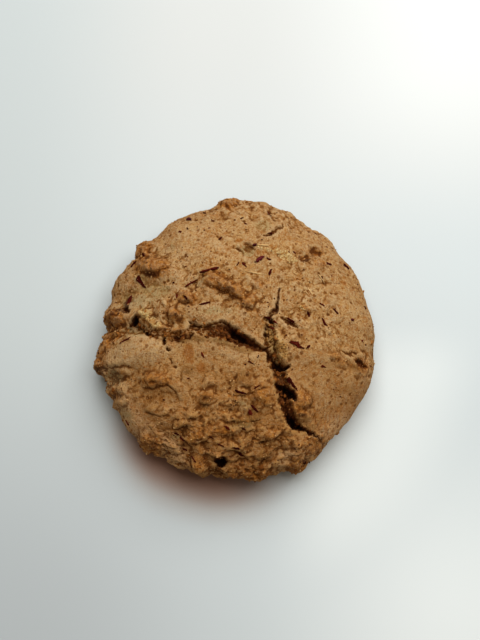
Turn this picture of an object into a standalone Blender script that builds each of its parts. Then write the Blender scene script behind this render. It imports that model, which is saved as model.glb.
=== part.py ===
"""A thick, craggy drop cookie, split by two cracks, with shards and flakes baked into its crust.

Run with: blender --background --python part.py

The scene is in metres with +Z up. Sizes and places below are in millimetres, because that is how a
cookie is measured, and MM turns them into metres at the end. The origin is on the floor, under the
middle of the cookie's box. +X is the right of the cookie as it is looked at from above, +Y its far side.
"""

import math

import bmesh
import bpy
import numpy as np
from mathutils import Euler, Matrix

MM = 0.001

# Driving dimensions, in millimetres
RIM_RADIUS = 43.7
COOKIE_HEIGHT = 27.0
RIM_HEIGHT = 9.0

# The half section: a flattened dome above the rim, a rounded undercut below it, and a flat base
DOME_POWER = 2.4
DOME_ROUNDING = 0.55
UNDERCUT_POWER = 2.2
BASE_SHARE = 0.88
PROFILE_STEPS = 160

# Bulges and dents of the outline: direction in degrees, spread in degrees, extra radius
RIM_BUMPS = [
    (4, 7, 1.1), (18, 8, 0.3), (41, 6, -1.0), (57, 5, -1.0), (68, 4, 0.9), (80, 8, 1.8), (93, 3, 1.0),
    (104, 8, -0.4), (130, 9, -2.7), (145, 6, -2.6), (155, 6, -1.2), (165, 5, -2.5), (178, 5, -5.4),
    (192, 5, -0.7), (202, 5, -0.7), (222, 6, 1.3), (236, 5, -1.0), (240, 12, 0.9), (275, 10, 0.7),
    (283, 5, 1.0), (297, 6, 2.9), (330, 16, 0.7), (336, 6, 0.7), (343, 7, 1.2),
]

# Rounded lumps and shallow hollows of the crust.
# Middle x, y, half length, half width, turn in degrees, rise
SWELLS = [
    (-26.0, 20.0, 5.0, 2.8, -15, 2.0), (-29.0, 28.0, 3.0, 2.0, 35, 0.9), (-7.0, 14.2, 2.8, 1.9, 0, 1.1),
    (-3.2, 12.6, 3.4, 1.9, -35, 1.1), (0.6, 10.6, 1.9, 1.9, 0, 0.9), (-14.6, 9.2, 2.8, 1.8, -20, 1.1),
    (4.2, 7.4, 2.4, 1.7, 0, 1.1), (6.4, 12.8, 3.2, 1.1, -35, 0.6), (-18.8, 3.8, 1.9, 1.6, 0, 1.3),
    (26.6, 20.8, 2.2, 1.6, 0, 1.0), (25.0, 18.0, 5.0, 4.0, -30, 0.6), (21.9, 5.6, 1.9, 1.1, -10, 0.7),
    (-28.0, 3.8, 2.1, 1.7, -30, 1.3), (-25.4, 1.6, 1.9, 1.5, -20, 1.1), (-22.8, -0.6, 1.8, 1.3, 0, 0.9),
    (-39.6, 4.4, 2.3, 1.8, 30, 1.3), (-36.4, 2.8, 2.4, 1.7, -10, 1.1), (-39.4, 0.2, 1.9, 1.7, 0, 1.1),
    (-36.2, -0.8, 1.8, 1.5, 0, 0.9), (-42.4, -9.4, 2.2, 1.8, 0, 1.3), (-41.5, -6.0, 3.0, 3.4, 0, 1.0),
    (-30.0, -7.6, 11.0, 4.6, 12, 1.6), (-34.4, -13.0, 2.3, 1.3, -10, 0.9),
    (-38.6, -17.8, 2.3, 1.5, 10, 0.6), (-34.5, -17.8, 2.0, 1.3, 0, 0.6),
    (-36.2, -21.6, 2.7, 1.4, -5, 0.55), (-24.0, -15.6, 5.0, 1.8, 0, 0.9),
    (-27.6, -33.6, 2.6, 2.2, 30, 1.4), (-24.4, -36.0, 2.7, 1.6, -30, 1.1),
    (-12.4, -32.6, 2.1, 1.6, 0, 1.2), (-10.6, -38.2, 1.5, 2.7, 15, 0.8), (-9.8, -42.0, 1.3, 1.9, 10, 0.6),
    (-3.0, -31.2, 2.8, 1.7, 0, 0.8), (19.2, -21.2, 1.8, 1.4, 0, 1.1), (18.9, -24.0, 1.6, 1.7, 0, 1.2),
    (21.8, -22.6, 1.7, 1.5, 0, 0.9), (7.6, -21.4, 3.0, 2.4, 0, 1.1), (-8.0, -21.2, 2.2, 1.4, 0, 0.9),
    (-7.6, -17.6, 2.0, 1.2, 0, 0.6), (18.6, -42.4, 2.4, 2.0, 20, 1.1), (6.8, -44.4, 2.0, 1.1, 10, 0.9),
    (10.6, -32.8, 2.8, 1.2, 10, 0.9), (24.5, -35.0, 5.0, 3.0, 35, 1.0), (14.6, -7.0, 2.4, 3.2, 15, 0.6),
    (13.4, -16.6, 1.6, 1.2, 0, 0.9), (-2.6, 42.0, 3.4, 2.6, 0, 1.2), (26.0, -7.2, 6.0, 4.0, 0, 0.6),
    (-8.0, 3.4, 12.0, 2.8, -8, 0.9), (-13.0, -26.0, 2.2, 1.0, 0, 0.7), (-25.4, -24.6, 1.6, 1.0, -5, 0.7),
    (-21.0, -25.6, 1.3, 0.8, 20, 0.6), (-17.6, -26.6, 1.5, 0.8, 0, 0.5), (1.0, -9.0, 8.0, 2.4, -14, 0.5),
    (-26.3, 12.5, 7.0, 3.4, -10, -1.6), (3.4, 24.2, 2.6, 1.9, 0, -1.0), (-34.6, 11.4, 2.8, 3.4, 0, -1.3),
    (-37.8, -14.6, 3.0, 2.6, 0, -1.2), (1.6, -26.6, 5.0, 1.8, 0, -0.8), (36.6, -10.5, 3.4, 2.4, 20, -1.0),
    (-21.5, -21.5, 5.0, 2.4, 0, -0.7), (-12.0, 13.2, 2.2, 1.4, 30, -0.6), (-4.0, 36.4, 2.2, 1.2, 0, -0.6),
    (8.4, 33.0, 2.6, 2.2, 0, -0.6), (28.0, 14.6, 2.0, 1.4, 0, -0.5), (30.6, -8.8, 1.8, 1.2, 10, 0.9),
    (33.0, -10.6, 1.6, 1.1, -20, 0.8), (36.0, -8.8, 1.3, 1.5, 0, 0.7),
]

# Ledges: x, y and rise at each corner. The line's left side is raised, and its right side drops away.
LIPS = {
    "far_left_lump": [(-29.8, 19.6, 0), (-27.4, 17.8, 1.3), (-24.2, 17.6, 1.3), (-21.0, 19.6, 0)],
    "centre_lump": [(-9.4, 13.0, 0), (-6.0, 12.0, 0.9), (-2.4, 10.6, 1.2), (0.8, 8.9, 1.1), (2.2, 7.4, 0)],
    "side_lump": [(-17.4, 8.6, 0), (-15.6, 7.4, 0.9), (-13.0, 7.3, 0.9), (-11.2, 8.6, 0)],
    "small_lump": [(1.8, 6.8, 0), (3.2, 5.6, 0.8), (5.4, 5.6, 0.8), (6.6, 7.0, 0)],
    "plateau_edge": [
        (-44.4, -11.9, 0), (-41.8, -11.6, 1.2), (-38.2, -10.9, 1.0), (-34.4, -10.8, 0.6),
        (-30.0, -11.8, 0),
    ],
    "left_ledge": [
        (-29.6, -17.4, 0), (-27.0, -18.2, 0.9), (-24.4, -18.5, 1.0), (-22.6, -17.6, 0.9),
        (-20.6, -17.6, 0.9), (-18.4, -18.8, 0.7), (-17.2, -20.6, 0.5), (-16.6, -23.6, 0.3),
        (-15.8, -25.6, 0),
    ],
    "brown_band": [(-28.6, -15.2, 0), (-26.0, -16.4, 0.8), (-22.6, -16.2, 0.7), (-20.0, -15.4, 0)],
    "left_rim_upper": [(-40.4, -17.8, 0), (-37.8, -19.2, 0.4), (-34.8, -19.0, 0.4), (-33.0, -17.6, 0)],
    "left_rim_lower": [(-38.8, -21.4, 0), (-36.8, -22.8, 0.35), (-34.2, -22.8, 0.35), (-32.4, -21.4, 0)],
    "row": [(-28.4, -25.0, 0), (-26.6, -25.6, 0.5), (-22.4, -26.8, 0.6), (-19.4, -26.4, 0)],
    "tooth": [(-15.2, -26.0, 0), (-13.8, -27.6, 1.0), (-11.2, -27.6, 1.0), (-9.8, -26.6, 0)],
    "brow": [(-18.8, -30.6, 0), (-16.6, -29.6, 0.9), (-14.4, -29.6, 1.0), (-13.2, -30.8, 0)],
    "near_left": [
        (-26.0, -33.6, 0), (-23.2, -34.4, 1.0), (-19.8, -35.6, 1.1), (-17.4, -36.0, 0.7),
        (-15.8, -36.2, 0),
    ],
    "near_middle": [
        (-16.2, -33.2, 0), (-13.8, -34.4, 1.0), (-11.2, -35.0, 1.2), (-9.0, -34.2, 1.0), (-7.2, -32.8, 0),
    ],
    "knot": [(-11.0, -22.8, 0), (-9.4, -23.8, 1.0), (-7.2, -23.8, 1.0), (-5.4, -22.4, 0)],
    "bump_foot": [(4.4, -20.5, 0), (6.4, -19.5, 0.8), (8.8, -18.6, 0.8), (11.0, -18.2, 0)],
    "middle_crease": [(-2.0, -20.4, 0), (0.4, -21.0, 0.8), (2.8, -20.9, 0.9), (4.4, -20.0, 0)],
    "long_fold": [
        (-6.0, -27.4, 0), (-2.4, -28.7, 0.6), (2.0, -28.8, 0.7), (6.0, -28.7, 0.5), (8.6, -27.6, 0),
    ],
    "front": [
        (5.6, -35.0, 0), (8.4, -34.7, 1.0), (11.0, -34.3, 1.1), (13.4, -33.0, 0.7), (15.0, -31.6, 0),
    ],
    "low_fold": [
        (-3.8, -36.4, 0), (-1.0, -37.0, 1.0), (1.8, -37.8, 1.0), (3.6, -39.2, 0.6), (4.6, -40.6, 0),
    ],
    "low_arc": [(1.6, -42.2, 0), (4.8, -42.0, 0.9), (8.0, -40.6, 0.9), (10.8, -38.4, 0)],
    "hole_brow": [
        (-9.8, -37.0, 0), (-7.8, -38.0, 1.0), (-5.4, -38.3, 1.3), (-3.0, -38.7, 1.1), (-1.0, -39.8, 0),
    ],
    "ridge": [
        (-14.4, -37.2, 0), (-12.8, -39.2, 1.1), (-11.5, -41.6, 1.2), (-10.3, -43.4, 0.8), (-9.6, -44.6, 0),
    ],
    "crack_cliff": [(23.4, -24.6, 0), (20.6, -25.6, 1.0), (18.6, -25.4, 1.0), (17.2, -23.6, 0)],
}
LIP_REACH = 2.6
LIP_EDGE = 0.55

# Wide tears with a crumbly floor: x, y, half width and depth at each corner of the middle line
TEARS = {
    "cross_tear": [
        (-13.0, -0.8, 1.0, 0.7), (-9.0, -1.8, 1.8, 1.3), (-6.3, -2.0, 2.3, 1.7), (-3.9, -2.1, 2.7, 2.1),
        (-0.8, -3.0, 2.6, 2.6), (2.2, -4.5, 2.1, 2.6), (5.2, -6.0, 1.6, 2.2), (8.0, -7.2, 0.9, 1.8),
    ],
    "west_tear": [
        (-37.0, -1.6, 0.7, 0.3), (-34.0, -0.8, 1.2, 0.9), (-30.1, -0.2, 1.8, 1.3), (-26.0, -1.3, 1.6, 0.9),
        (-21.9, -2.8, 2.0, 0.9), (-17.6, -3.6, 2.0, 1.1), (-14.0, -2.6, 1.4, 0.9),
    ],
    "down_tear": [
        (10.4, 1.4, 1.4, 0.3), (10.8, -2.0, 1.8, 0.5), (10.6, -5.6, 1.7, 1.1), (11.6, -9.6, 2.0, 1.9),
        (13.6, -14.5, 2.0, 2.2), (14.8, -19.0, 2.2, 2.8), (15.0, -23.5, 1.6, 2.4), (17.2, -28.0, 1.8, 2.6),
        (20.0, -30.8, 1.1, 1.4),
    ],
}
# Narrow slots, in the same form
SLOTS = {
    "cross_lip": [
        (-13.3, 1.3, 0.4, 1.2), (-11.8, 0.0, 0.45, 1.8), (-9.6, -0.6, 0.35, 1.6), (-6.9, 0.1, 0.35, 1.6),
        (-3.9, 0.9, 0.35, 1.8), (-1.2, -0.4, 0.4, 2.4), (1.6, -2.3, 0.45, 3.0), (4.6, -4.2, 0.4, 2.6),
        (8.6, -7.2, 0.4, 2.6),
    ],
    "cross_hollow": [
        (-4.0, -1.0, 0.4, 2.6), (-1.6, -1.4, 0.8, 4.0), (-0.2, -2.3, 1.1, 6.5), (1.8, -3.5, 1.2, 7.5),
        (3.4, -4.7, 0.8, 5.0), (6.6, -6.4, 0.5, 3.0),
    ],
    "crumb_stripe": [(9.4, -7.2, 0.5, 2.6), (10.2, -9.2, 0.6, 3.4), (11.6, -11.2, 0.7, 4.5)],
    "step_slot": [
        (11.6, -11.4, 0.8, 5.0), (13.2, -12.6, 1.2, 7.5), (15.2, -13.1, 1.1, 6.5), (16.6, -12.4, 0.6, 3.0),
    ],
    "middle_slot": [
        (13.2, -18.2, 0.8, 4.5), (14.6, -18.9, 1.2, 7.5), (16.6, -20.2, 1.3, 8.0), (17.8, -21.8, 0.7, 4.5),
    ],
    "lower_crevice": [(14.9, -21.3, 0.6, 4.0), (15.3, -23.0, 0.6, 4.0), (15.0, -24.8, 0.6, 3.6)],
    "lower_slot": [
        (15.2, -24.9, 0.6, 3.6), (16.4, -26.6, 0.8, 5.0), (17.0, -28.2, 1.1, 7.0), (18.0, -29.8, 1.3, 8.0),
        (19.6, -30.7, 0.8, 5.0), (21.8, -31.2, 0.5, 3.0), (24.0, -31.6, 0.5, 2.4), (25.8, -33.1, 0.5, 1.6),
    ],
    "upper_hairline": [
        (13.9, 11.8, 0.3, 0.6), (13.3, 8.6, 0.32, 0.9), (13.2, 6.2, 0.42, 2.0), (12.2, 4.4, 0.6, 2.2),
        (10.6, 2.4, 0.4, 1.2),
    ],
    "right_groove": [(14.6, 2.4, 0.5, 0.8), (16.9, 1.1, 0.8, 1.4), (19.0, -0.2, 0.5, 0.8)],
    "far_crack": [(15.3, 33.7, 0.5, 0.7), (12.4, 30.9, 0.7, 1.2), (9.6, 29.4, 0.6, 0.8)],
    "right_crack": [(33.0, -7.2, 0.45, 0.7), (35.6, -7.6, 0.5, 1.0), (38.0, -6.8, 0.45, 0.7)],
}

# Middle x, y, half length, half width, turn in degrees, depth
HOLES = [
    (-30.5, 2.5, 2.1, 1.3, 48, 6.5), (-26.8, -1.6, 1.8, 0.8, -27, 4.5), (-34.2, 6.4, 1.6, 0.8, -47, 3.0),
    (-20.1, -7.0, 0.7, 0.5, -70, 2.0), (-4.2, -40.0, 2.5, 1.7, -30, 6.5),
    (38.8, -10.4, 1.8, 1.1, -30, 2.6), (4.4, 25.4, 2.4, 1.6, -20, 0.8), (1.6, 24.6, 1.6, 0.9, -48, 0.8),
    (25.1, 25.0, 2.8, 1.6, -16, 1.3), (21.6, 22.0, 2.0, 0.9, 20, 1.0), (-18.0, -3.8, 1.4, 0.7, -10, 3.0),
    (-21.6, -4.2, 0.9, 1.1, 20, 2.4), (-15.2, -4.0, 0.8, 0.5, 0, 2.0), (11.3, 1.2, 1.3, 0.8, -20, 2.6),
    (9.6, -3.0, 1.4, 0.7, -30, 3.0), (11.0, 38.6, 1.0, 0.7, -60, 1.2), (-19.3, -10.9, 0.9, 0.5, -60, 0.9),
    (-17.9, -12.6, 1.0, 0.6, -35, 0.9),
]

# Where the crust is craggy, where it is a calm skin, and where its rim is rough, as ovals like the lumps
CRAGGY = [
    (-38.5, 2.0, 6.0, 5.5, 60, 0.9), (-39.0, -13.5, 5.0, 5.0, 0, 0.8), (-33.0, -20.0, 6.0, 4.0, 0, 0.6),
    (1.0, -21.0, 9.0, 6.0, 0, 0.5), (-9.0, -35.0, 17.0, 6.0, 0, 0.9), (9.0, -38.0, 12.0, 5.0, 0, 0.8),
    (19.8, -23.6, 4.0, 4.0, 0, 0.8), (38.5, -9.0, 4.0, 4.0, 0, 0.8), (-2.6, 42.0, 5.0, 3.0, 0, 0.7),
    (-30.0, 24.0, 6.0, 5.0, 0, 0.6), (23.0, 23.5, 6.0, 3.0, 0, 0.5), (14.0, 0.0, 7.0, 5.0, 0, 0.6),
    (21.0, -39.0, 6.0, 4.0, 0, 0.6), (-18.0, -1.0, 8.0, 3.0, 0, 0.7), (-26.0, 4.0, 5.0, 4.0, 0, 0.7),
    (-6.0, 12.0, 9.0, 6.0, -30, 0.4), (14.0, 38.0, 6.0, 4.0, 0, 0.4), (14.4, -8.0, 2.6, 3.8, 15, 1.0),
]
CALM = [
    (-28.0, -9.0, 12.0, 6.0, 15, 0.9), (-24.0, -24.0, 7.0, 4.0, 0, 0.7), (-31.0, -28.0, 5.0, 7.0, 45, 1.0),
    (29.0, -19.0, 8.0, 9.0, 0, 0.7), (36.0, -22.0, 8.0, 10.0, -30, 0.5), (38.0, 8.0, 6.0, 14.0, 15, 0.4),
    (-12.0, 29.0, 12.0, 8.0, 0, 0.4), (-5.0, -12.0, 10.0, 4.0, -15, 0.3),
]
RIM_CRAGS = [
    (-42.0, 2.0, 6.0, 7.0, 0, 0.9), (-41.0, -14.0, 5.0, 5.0, 0, 0.8), (-36.0, -24.0, 5.0, 4.0, 0, 0.2),
    (-27.0, -35.0, 6.0, 4.0, 0, 0.4), (-9.0, -43.0, 10.0, 4.0, 0, 0.7), (7.0, -44.0, 6.0, 3.0, 0, 0.7),
    (19.0, -42.0, 3.0, 3.0, 0, 0.6), (-30.0, 28.0, 5.0, 4.0, 0, 0.7), (-1.0, 43.0, 6.0, 3.0, 0, 0.6),
    (16.0, 40.0, 3.0, 2.0, 0, 0.4), (40.0, -10.0, 3.0, 3.0, 0, 0.4),
]

# Layers of unevenness: spacing of the lattice or of the scattered points, height, seed. Nubs also have
# the share of the scattered points that carry one.
BROAD_LAYER = (14.0, 0.9, 11)
ROUGH_LAYERS = [(6.5, 1.0, 12), (3.4, 0.7, 13)]
PEBBLE_LAYERS = [(2.6, 0.42, 61), (1.5, 0.24, 62), (0.95, 0.15, 63)]
NUB_LAYERS = [(6.5, 1.0, 0.45, 31), (3.9, 0.75, 0.45, 32), (2.2, 0.5, 0.5, 33)]
PIT_LAYERS = [(3.2, 0.6, 0.25, 34), (1.9, 0.45, 0.3, 35)]
RIM_NUB_LAYERS = [(3.0, 0.9, 0.5, 37), (1.7, 0.6, 0.5, 38)]
CRUMB_LAYERS = [(1.9, 1.1, 36), (1.1, 0.6, 39)]
LEDGE_SPACING = (10.0, 4.2, 3.2)
LEDGE_BREAKS = (0.3, 2.4)
LEDGE_SEEDS = (41, 42)
LEDGE_STEPS = 2.6
LEDGE_RISE = 0.95
BEND = 0.9
BEND_SPACING = 2.2
CRACK_WANDER = 0.5
CRACK_WANDER_SPACING = 2.6
CRACK_WANDER_SEEDS = (21, 22)
BEND_SEEDS = (51, 52, 53)
CRAG_LAYER = (11.0, 0.35, 71)
LATTICE_CELLS = 32
FAR_AWAY = 99.0
NOISE_GAIN = 1.6

# The shapes of single pebbles, nubs and pits, in the spacing of their layer, and the least of their heights
PEBBLE_RADIUS = 0.8
NUB_RADII = (0.18, 0.48)
NUB_POWER = 0.75
PIT_RADIUS = 0.26
PIT_EDGE = 1.15
LEAST_HEIGHT = 0.3

# A ledge's riser, as the part of a step that it takes up; a crumb's mean level and the groove round it
RISER_ENDS = (0.3, 0.7)
CRUMB_LEVEL = 0.9
CRUMB_GROOVE = (0.5, 0.4)

# Where each kind of relief ends: near the floor, on the upper crust, on the near half and at the rim
FLOOR_MARGIN = 2.5
TOP_MARGIN = (3.0, 10.0)
NEAR_START = 0.1
SIDE_MARGIN = (0.82, 0.96)
CRAG_SHARES = (0.42, 0.3, 0.3)
CRAG_RANGE = (0.1, 1.15)
LEAST_RIM_ROUGH = 0.15
CALM_SHARE = 0.35
LIP_BEND = 0.5
SWELL_BEND = 0.6
SWELL_GAIN = 1.12

# How steeply a bell falls to its edge: soft for regions, steeper for lumps
SOFT_BELL = 2.0
STEEP_BELL = 2.7

# The walls of tears and slots, and of holes, in half widths: full depth before the first, none after the
# second. The third pair is for the torn crumb in and beside a tear.
WALL_ENDS = (0.4, 1.1)
BOWL_ENDS = (0.25, 1.15)
TORN_ENDS = (0.85, 1.3)

# Pieces baked into the crust: x, y, length, width, turn in degrees. Each is a faceted bead.
SHARDS = [
    (-33.1, 10.0, 4.2, 1.6, 79), (-29.6, 15.6, 5.0, 1.2, -50), (-32.5, 22.2, 3.2, 1.2, 71),
    (-33.8, -3.6, 4.8, 1.0, 0), (-9.2, 6.6, 3.6, 1.0, 12), (-13.5, 13.4, 4.2, 0.8, 31),
    (-7.8, 17.5, 5.6, 0.9, 25), (29.5, 21.5, 2.6, 1.2, -2), (35.5, 22.0, 2.6, 1.3, -24),
    (31.3, 5.5, 2.8, 1.1, -46), (27.5, 1.7, 3.2, 1.2, -62), (18.3, -5.6, 3.5, 1.5, -18),
    (22.4, -6.5, 2.0, 1.1, 41), (5.2, -25.7, 4.6, 1.2, -60), (1.8, -20.5, 3.7, 1.2, -15),
    (-18.2, -32.1, 2.9, 1.1, -15), (-5.4, -34.6, 5.0, 0.8, -36), (-14.8, 36.8, 2.6, 1.5, -55),
    (7.8, 21.1, 3.0, 1.4, 43), (0.3, -36.8, 2.9, 1.1, -6), (17.4, -17.9, 4.8, 1.6, -57),
]
FLAKES = [
    (15.6, 22.6, 4.6, 3.2, -30), (1.6, 27.4, 3.8, 2.0, -30), (8.0, 23.2, 5.4, 2.4, -12),
    (-27.6, 4.8, 4.2, 3.0, -39), (20.6, 5.4, 4.2, 2.2, -31), (34.5, 15.4, 3.3, 1.5, -87),
]
SHARD_THICKNESS = 1.2
FLAKE_THICKNESS = 1.2
SHARE_ABOVE_CRUST = 0.3

# Fineness of the mesh
BALL_SUBDIVISIONS = 7
CRUST_TRIANGLES = 10500
FLOOR_SNAP = 0.1

# A bead is set at the highest of a few crust points beside its place, and leans with the dome there
POINTS_BESIDE = 12
STEEPEST_SHARE = 0.97

CRUST_COLOUR = (0.40, 0.215, 0.085)
CRUST_ROUGHNESS = 0.85


def clear_scene():
    """Removes whatever the file opened with."""
    for old in list(bpy.data.objects):
        bpy.data.objects.remove(old, do_unlink=True)


def new_collection(name):
    """A collection linked to the scene."""
    collection = bpy.data.collections.new(name)
    bpy.context.scene.collection.children.link(collection)
    return collection


def crust_material():
    """Pale brown baked dough, dull all over."""
    material = bpy.data.materials.new("crust")
    material.use_nodes = True
    shader = material.node_tree.nodes["Principled BSDF"]
    shader.inputs["Base Color"].default_value = (*CRUST_COLOUR, 1.0)
    shader.inputs["Roughness"].default_value = CRUST_ROUGHNESS
    shader.inputs["Metallic"].default_value = 0.0
    return material


def smooth(share):
    """Rises from 0 to 1 with a level start and end: 3 s^2 - 2 s^3."""
    share = np.clip(share, 0.0, 1.0)
    return share * share * (3 - 2 * share)


def turned(points, draw):
    """The points turned about the origin by a random turn."""
    return points @ np.linalg.qr(draw.normal(size=(3, 3)))[0]


def lattice_noise(points, spacing, seed):
    """Blends, between the points of a cubic lattice, slopes that each pass through 0 at their own point."""
    draw = np.random.default_rng(seed)
    slopes = draw.normal(size=(LATTICE_CELLS, LATTICE_CELLS, LATTICE_CELLS, 3))
    slopes /= np.linalg.norm(slopes, axis=-1, keepdims=True)
    place = turned(points, draw) / spacing
    cell = np.floor(place).astype(int)
    part = place - cell
    blend = smooth(part)
    total = np.zeros(len(points))
    for corner in np.ndindex(2, 2, 2):
        weight = np.prod(np.where(corner, blend, 1 - blend), axis=1)
        slope = slopes[tuple(((cell + corner) % LATTICE_CELLS).T)]
        total += weight * np.sum(slope * (part - corner), axis=1)
    return total * NOISE_GAIN


def cell_noise(points, spacing, seed):
    """Distance to the nearest scattered point and to the second nearest, in spacings, and a random number
    from 0 to 1 that belongs to the nearest."""
    draw = np.random.default_rng(seed)
    scatter = draw.uniform(0, 1, (LATTICE_CELLS, LATTICE_CELLS, LATTICE_CELLS, 3))
    label = draw.uniform(0, 1, (LATTICE_CELLS,) * 3)
    place = turned(points, draw) / spacing
    cell = np.floor(place).astype(int)
    nearest = np.full(len(points), FAR_AWAY)
    second = np.full(len(points), FAR_AWAY)
    owner = np.zeros(len(points))
    for step in np.ndindex(3, 3, 3):
        other = cell + np.array(step) - 1
        index = tuple((other % LATTICE_CELLS).T)
        distance = np.linalg.norm(place - other - scatter[index], axis=1)
        closer = distance < nearest
        second = np.where(closer, nearest, np.minimum(second, distance))
        owner = np.where(closer, label[index], owner)
        nearest = np.where(closer, distance, nearest)
    return nearest, second, owner


def outline_radius(angle):
    """The rim's radius in each direction: RIM_RADIUS plus one bell-shaped bulge or dent per entry."""
    radius = np.full_like(angle, RIM_RADIUS)
    for direction, spread, extra in RIM_BUMPS:
        away = (np.degrees(angle) - direction + 180) % 360 - 180
        radius += extra * np.exp(-((away / spread) ** 2))
    return radius


def half_section():
    """The section from the top's middle over the rim to the base's middle, as shares of the rim's radius
    and heights, with the part of the whole surface that has been passed at each point."""
    out = np.sin(np.linspace(0, np.pi / 2, PROFILE_STEPS))
    dome = RIM_HEIGHT + (COOKIE_HEIGHT - RIM_HEIGHT) * (1 - out**DOME_POWER) ** DOME_ROUNDING
    down = np.linspace(0, 1, PROFILE_STEPS)[1:]
    under = BASE_SHARE + (1 - BASE_SHARE) * (1 - down**UNDERCUT_POWER) ** (1 / UNDERCUT_POWER)
    base = np.linspace(BASE_SHARE, 0, PROFILE_STEPS)[1:]
    share = np.concatenate([out, under, base])
    height = np.concatenate([dome, RIM_HEIGHT * (1 - down), np.zeros_like(base)])
    step = np.hypot(np.diff(share) * RIM_RADIUS, np.diff(height))
    ring_area = step * (share[1:] + share[:-1])
    passed = np.concatenate([[0.0], np.cumsum(ring_area)])
    return share, height, passed / passed[-1]


def cookie_form(directions):
    """Carries the points of a ball to the plain form of the cookie, so that equal parts of the ball's
    surface become equal parts of the cookie's. Returns the points and the way out of the surface at each."""
    share, height, passed = half_section()
    slope_out = np.gradient(share * RIM_RADIUS)
    slope_up = np.gradient(height)
    at = (1 - directions[:, 2]) / 2
    angle = np.arctan2(directions[:, 1], directions[:, 0])
    reach = np.interp(at, passed, share) * outline_radius(angle)
    points = np.stack([reach * np.cos(angle), reach * np.sin(angle), np.interp(at, passed, height)], axis=1)
    out = np.interp(at, passed, -slope_up)
    up = np.interp(at, passed, slope_out)
    ways = np.stack([out * np.cos(angle), out * np.sin(angle), up], axis=1)
    return points, ways / np.linalg.norm(ways, axis=1, keepdims=True)


def oval_distance(x, y, oval):
    """Distance from an oval's middle in its own half sizes, so that 1 is its edge."""
    middle_x, middle_y, half_length, half_width, turn = oval
    cos = math.cos(math.radians(turn))
    sin = math.sin(math.radians(turn))
    along = ((x - middle_x) * cos + (y - middle_y) * sin) / half_length
    across = ((y - middle_y) * cos - (x - middle_x) * sin) / half_width
    return np.hypot(along, across)


def bells(x, y, ovals, steepness=SOFT_BELL):
    """Each oval's last number times e to the minus distance^steepness, all added up."""
    total = np.zeros_like(x)
    for *oval, height in ovals:
        total += height * np.exp(-(oval_distance(x, y, oval) ** steepness))
    return total


def line_distance(x, y, corners):
    """Distance from a line of corners, in its half width there, and its depth there, for each place."""
    share = np.full(len(x), FAR_AWAY)
    depth = np.zeros(len(x))
    for (x0, y0, half0, deep0), (x1, y1, half1, deep1) in zip(corners, corners[1:]):
        run_x, run_y = x1 - x0, y1 - y0
        part = np.clip(((x - x0) * run_x + (y - y0) * run_y) / (run_x**2 + run_y**2), 0, 1)
        distance = np.hypot(x - x0 - part * run_x, y - y0 - part * run_y)
        here = distance / (half0 + part * (half1 - half0))
        depth = np.where(here < share, deep0 + part * (deep1 - deep0), depth)
        share = np.minimum(share, here)
    return share, depth


def lip_rise(x, y):
    """How far the ledges raise each place: on a line's left, its rise there times a bell of the distance."""
    total = np.zeros_like(x)
    for corners in LIPS.values():
        nearest = np.full(len(x), FAR_AWAY)
        rise = np.zeros(len(x))
        for (x0, y0, rise0), (x1, y1, rise1) in zip(corners, corners[1:]):
            run_x, run_y = x1 - x0, y1 - y0
            part = np.clip(((x - x0) * run_x + (y - y0) * run_y) / (run_x**2 + run_y**2), 0, 1)
            distance = np.hypot(x - x0 - part * run_x, y - y0 - part * run_y)
            side = ((y - y0) * run_x - (x - x0) * run_y) / math.hypot(run_x, run_y)
            here = (rise0 + part * (rise1 - rise0)) * smooth(0.5 + side / LIP_EDGE)
            rise = np.where(distance < nearest, here * np.exp(-((distance / LIP_REACH) ** 2)), rise)
            nearest = np.minimum(nearest, distance)
        total += rise
    return total


def fall(distance, ends):
    """1 before the first of the two ends, 0 after the second, and a smooth fall between them."""
    return 1 - smooth((distance - ends[0]) / (ends[1] - ends[0]))


def crack_depth(x, y):
    """How deep the tears, slots and holes reach below the crust, and how far each place is torn."""
    sunk = np.zeros_like(x)
    torn = np.zeros_like(x)
    for corners in TEARS.values():
        share, depth = line_distance(x, y, corners)
        sunk = np.maximum(sunk, depth * fall(share, WALL_ENDS))
        torn = np.maximum(torn, fall(share, TORN_ENDS))
    for corners in SLOTS.values():
        share, depth = line_distance(x, y, corners)
        sunk = np.maximum(sunk, depth * fall(share, WALL_ENDS))
    for *oval, deep in HOLES:
        sunk = np.maximum(sunk, deep * fall(oval_distance(x, y, oval), BOWL_ENDS))
    return sunk, torn


def layered_noise(points, layers):
    """Height times lattice noise for each layer, added up."""
    return sum(height * lattice_noise(points, spacing, seed) for spacing, height, seed in layers)


def pebbles(points, layers):
    """Domes packed side by side, each with its own share of the layer's height: that share times
    1 - (distance / PEBBLE_RADIUS)^2."""
    rise = np.zeros(len(points))
    for spacing, height, seed in layers:
        near, _, label = cell_noise(points, spacing, seed)
        share = LEAST_HEIGHT + (1 - LEAST_HEIGHT) * label
        rise += height * share * np.clip(1 - (near / PEBBLE_RADIUS) ** 2, 0, 1)
    return rise


def nubs(points, layers):
    """A dome over each scattered point whose number is above 1 - share: its height times
    (1 - (distance / radius)^2)^NUB_POWER. The radius and the height grow with the number."""
    rise = np.zeros(len(points))
    for spacing, height, share, seed in layers:
        near, _, label = cell_noise(points, spacing, seed)
        size = np.clip((label - (1 - share)) / share, 0, 1)
        radius = NUB_RADII[0] + (NUB_RADII[1] - NUB_RADII[0]) * size
        dome = np.clip(1 - (near / radius) ** 2, 0, 1) ** NUB_POWER
        rise += height * (LEAST_HEIGHT + (1 - LEAST_HEIGHT) * size) * dome * (size > 0)
    return rise


def pits(points, layers):
    """Round pits, as nubs the other way about but with soft lips."""
    sunk = np.zeros(len(points))
    for spacing, depth, share, seed in layers:
        near, _, label = cell_noise(points, spacing, seed)
        sunk += depth * smooth(PIT_EDGE - near / PIT_RADIUS) * (label > 1 - share)
    return sunk


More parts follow.
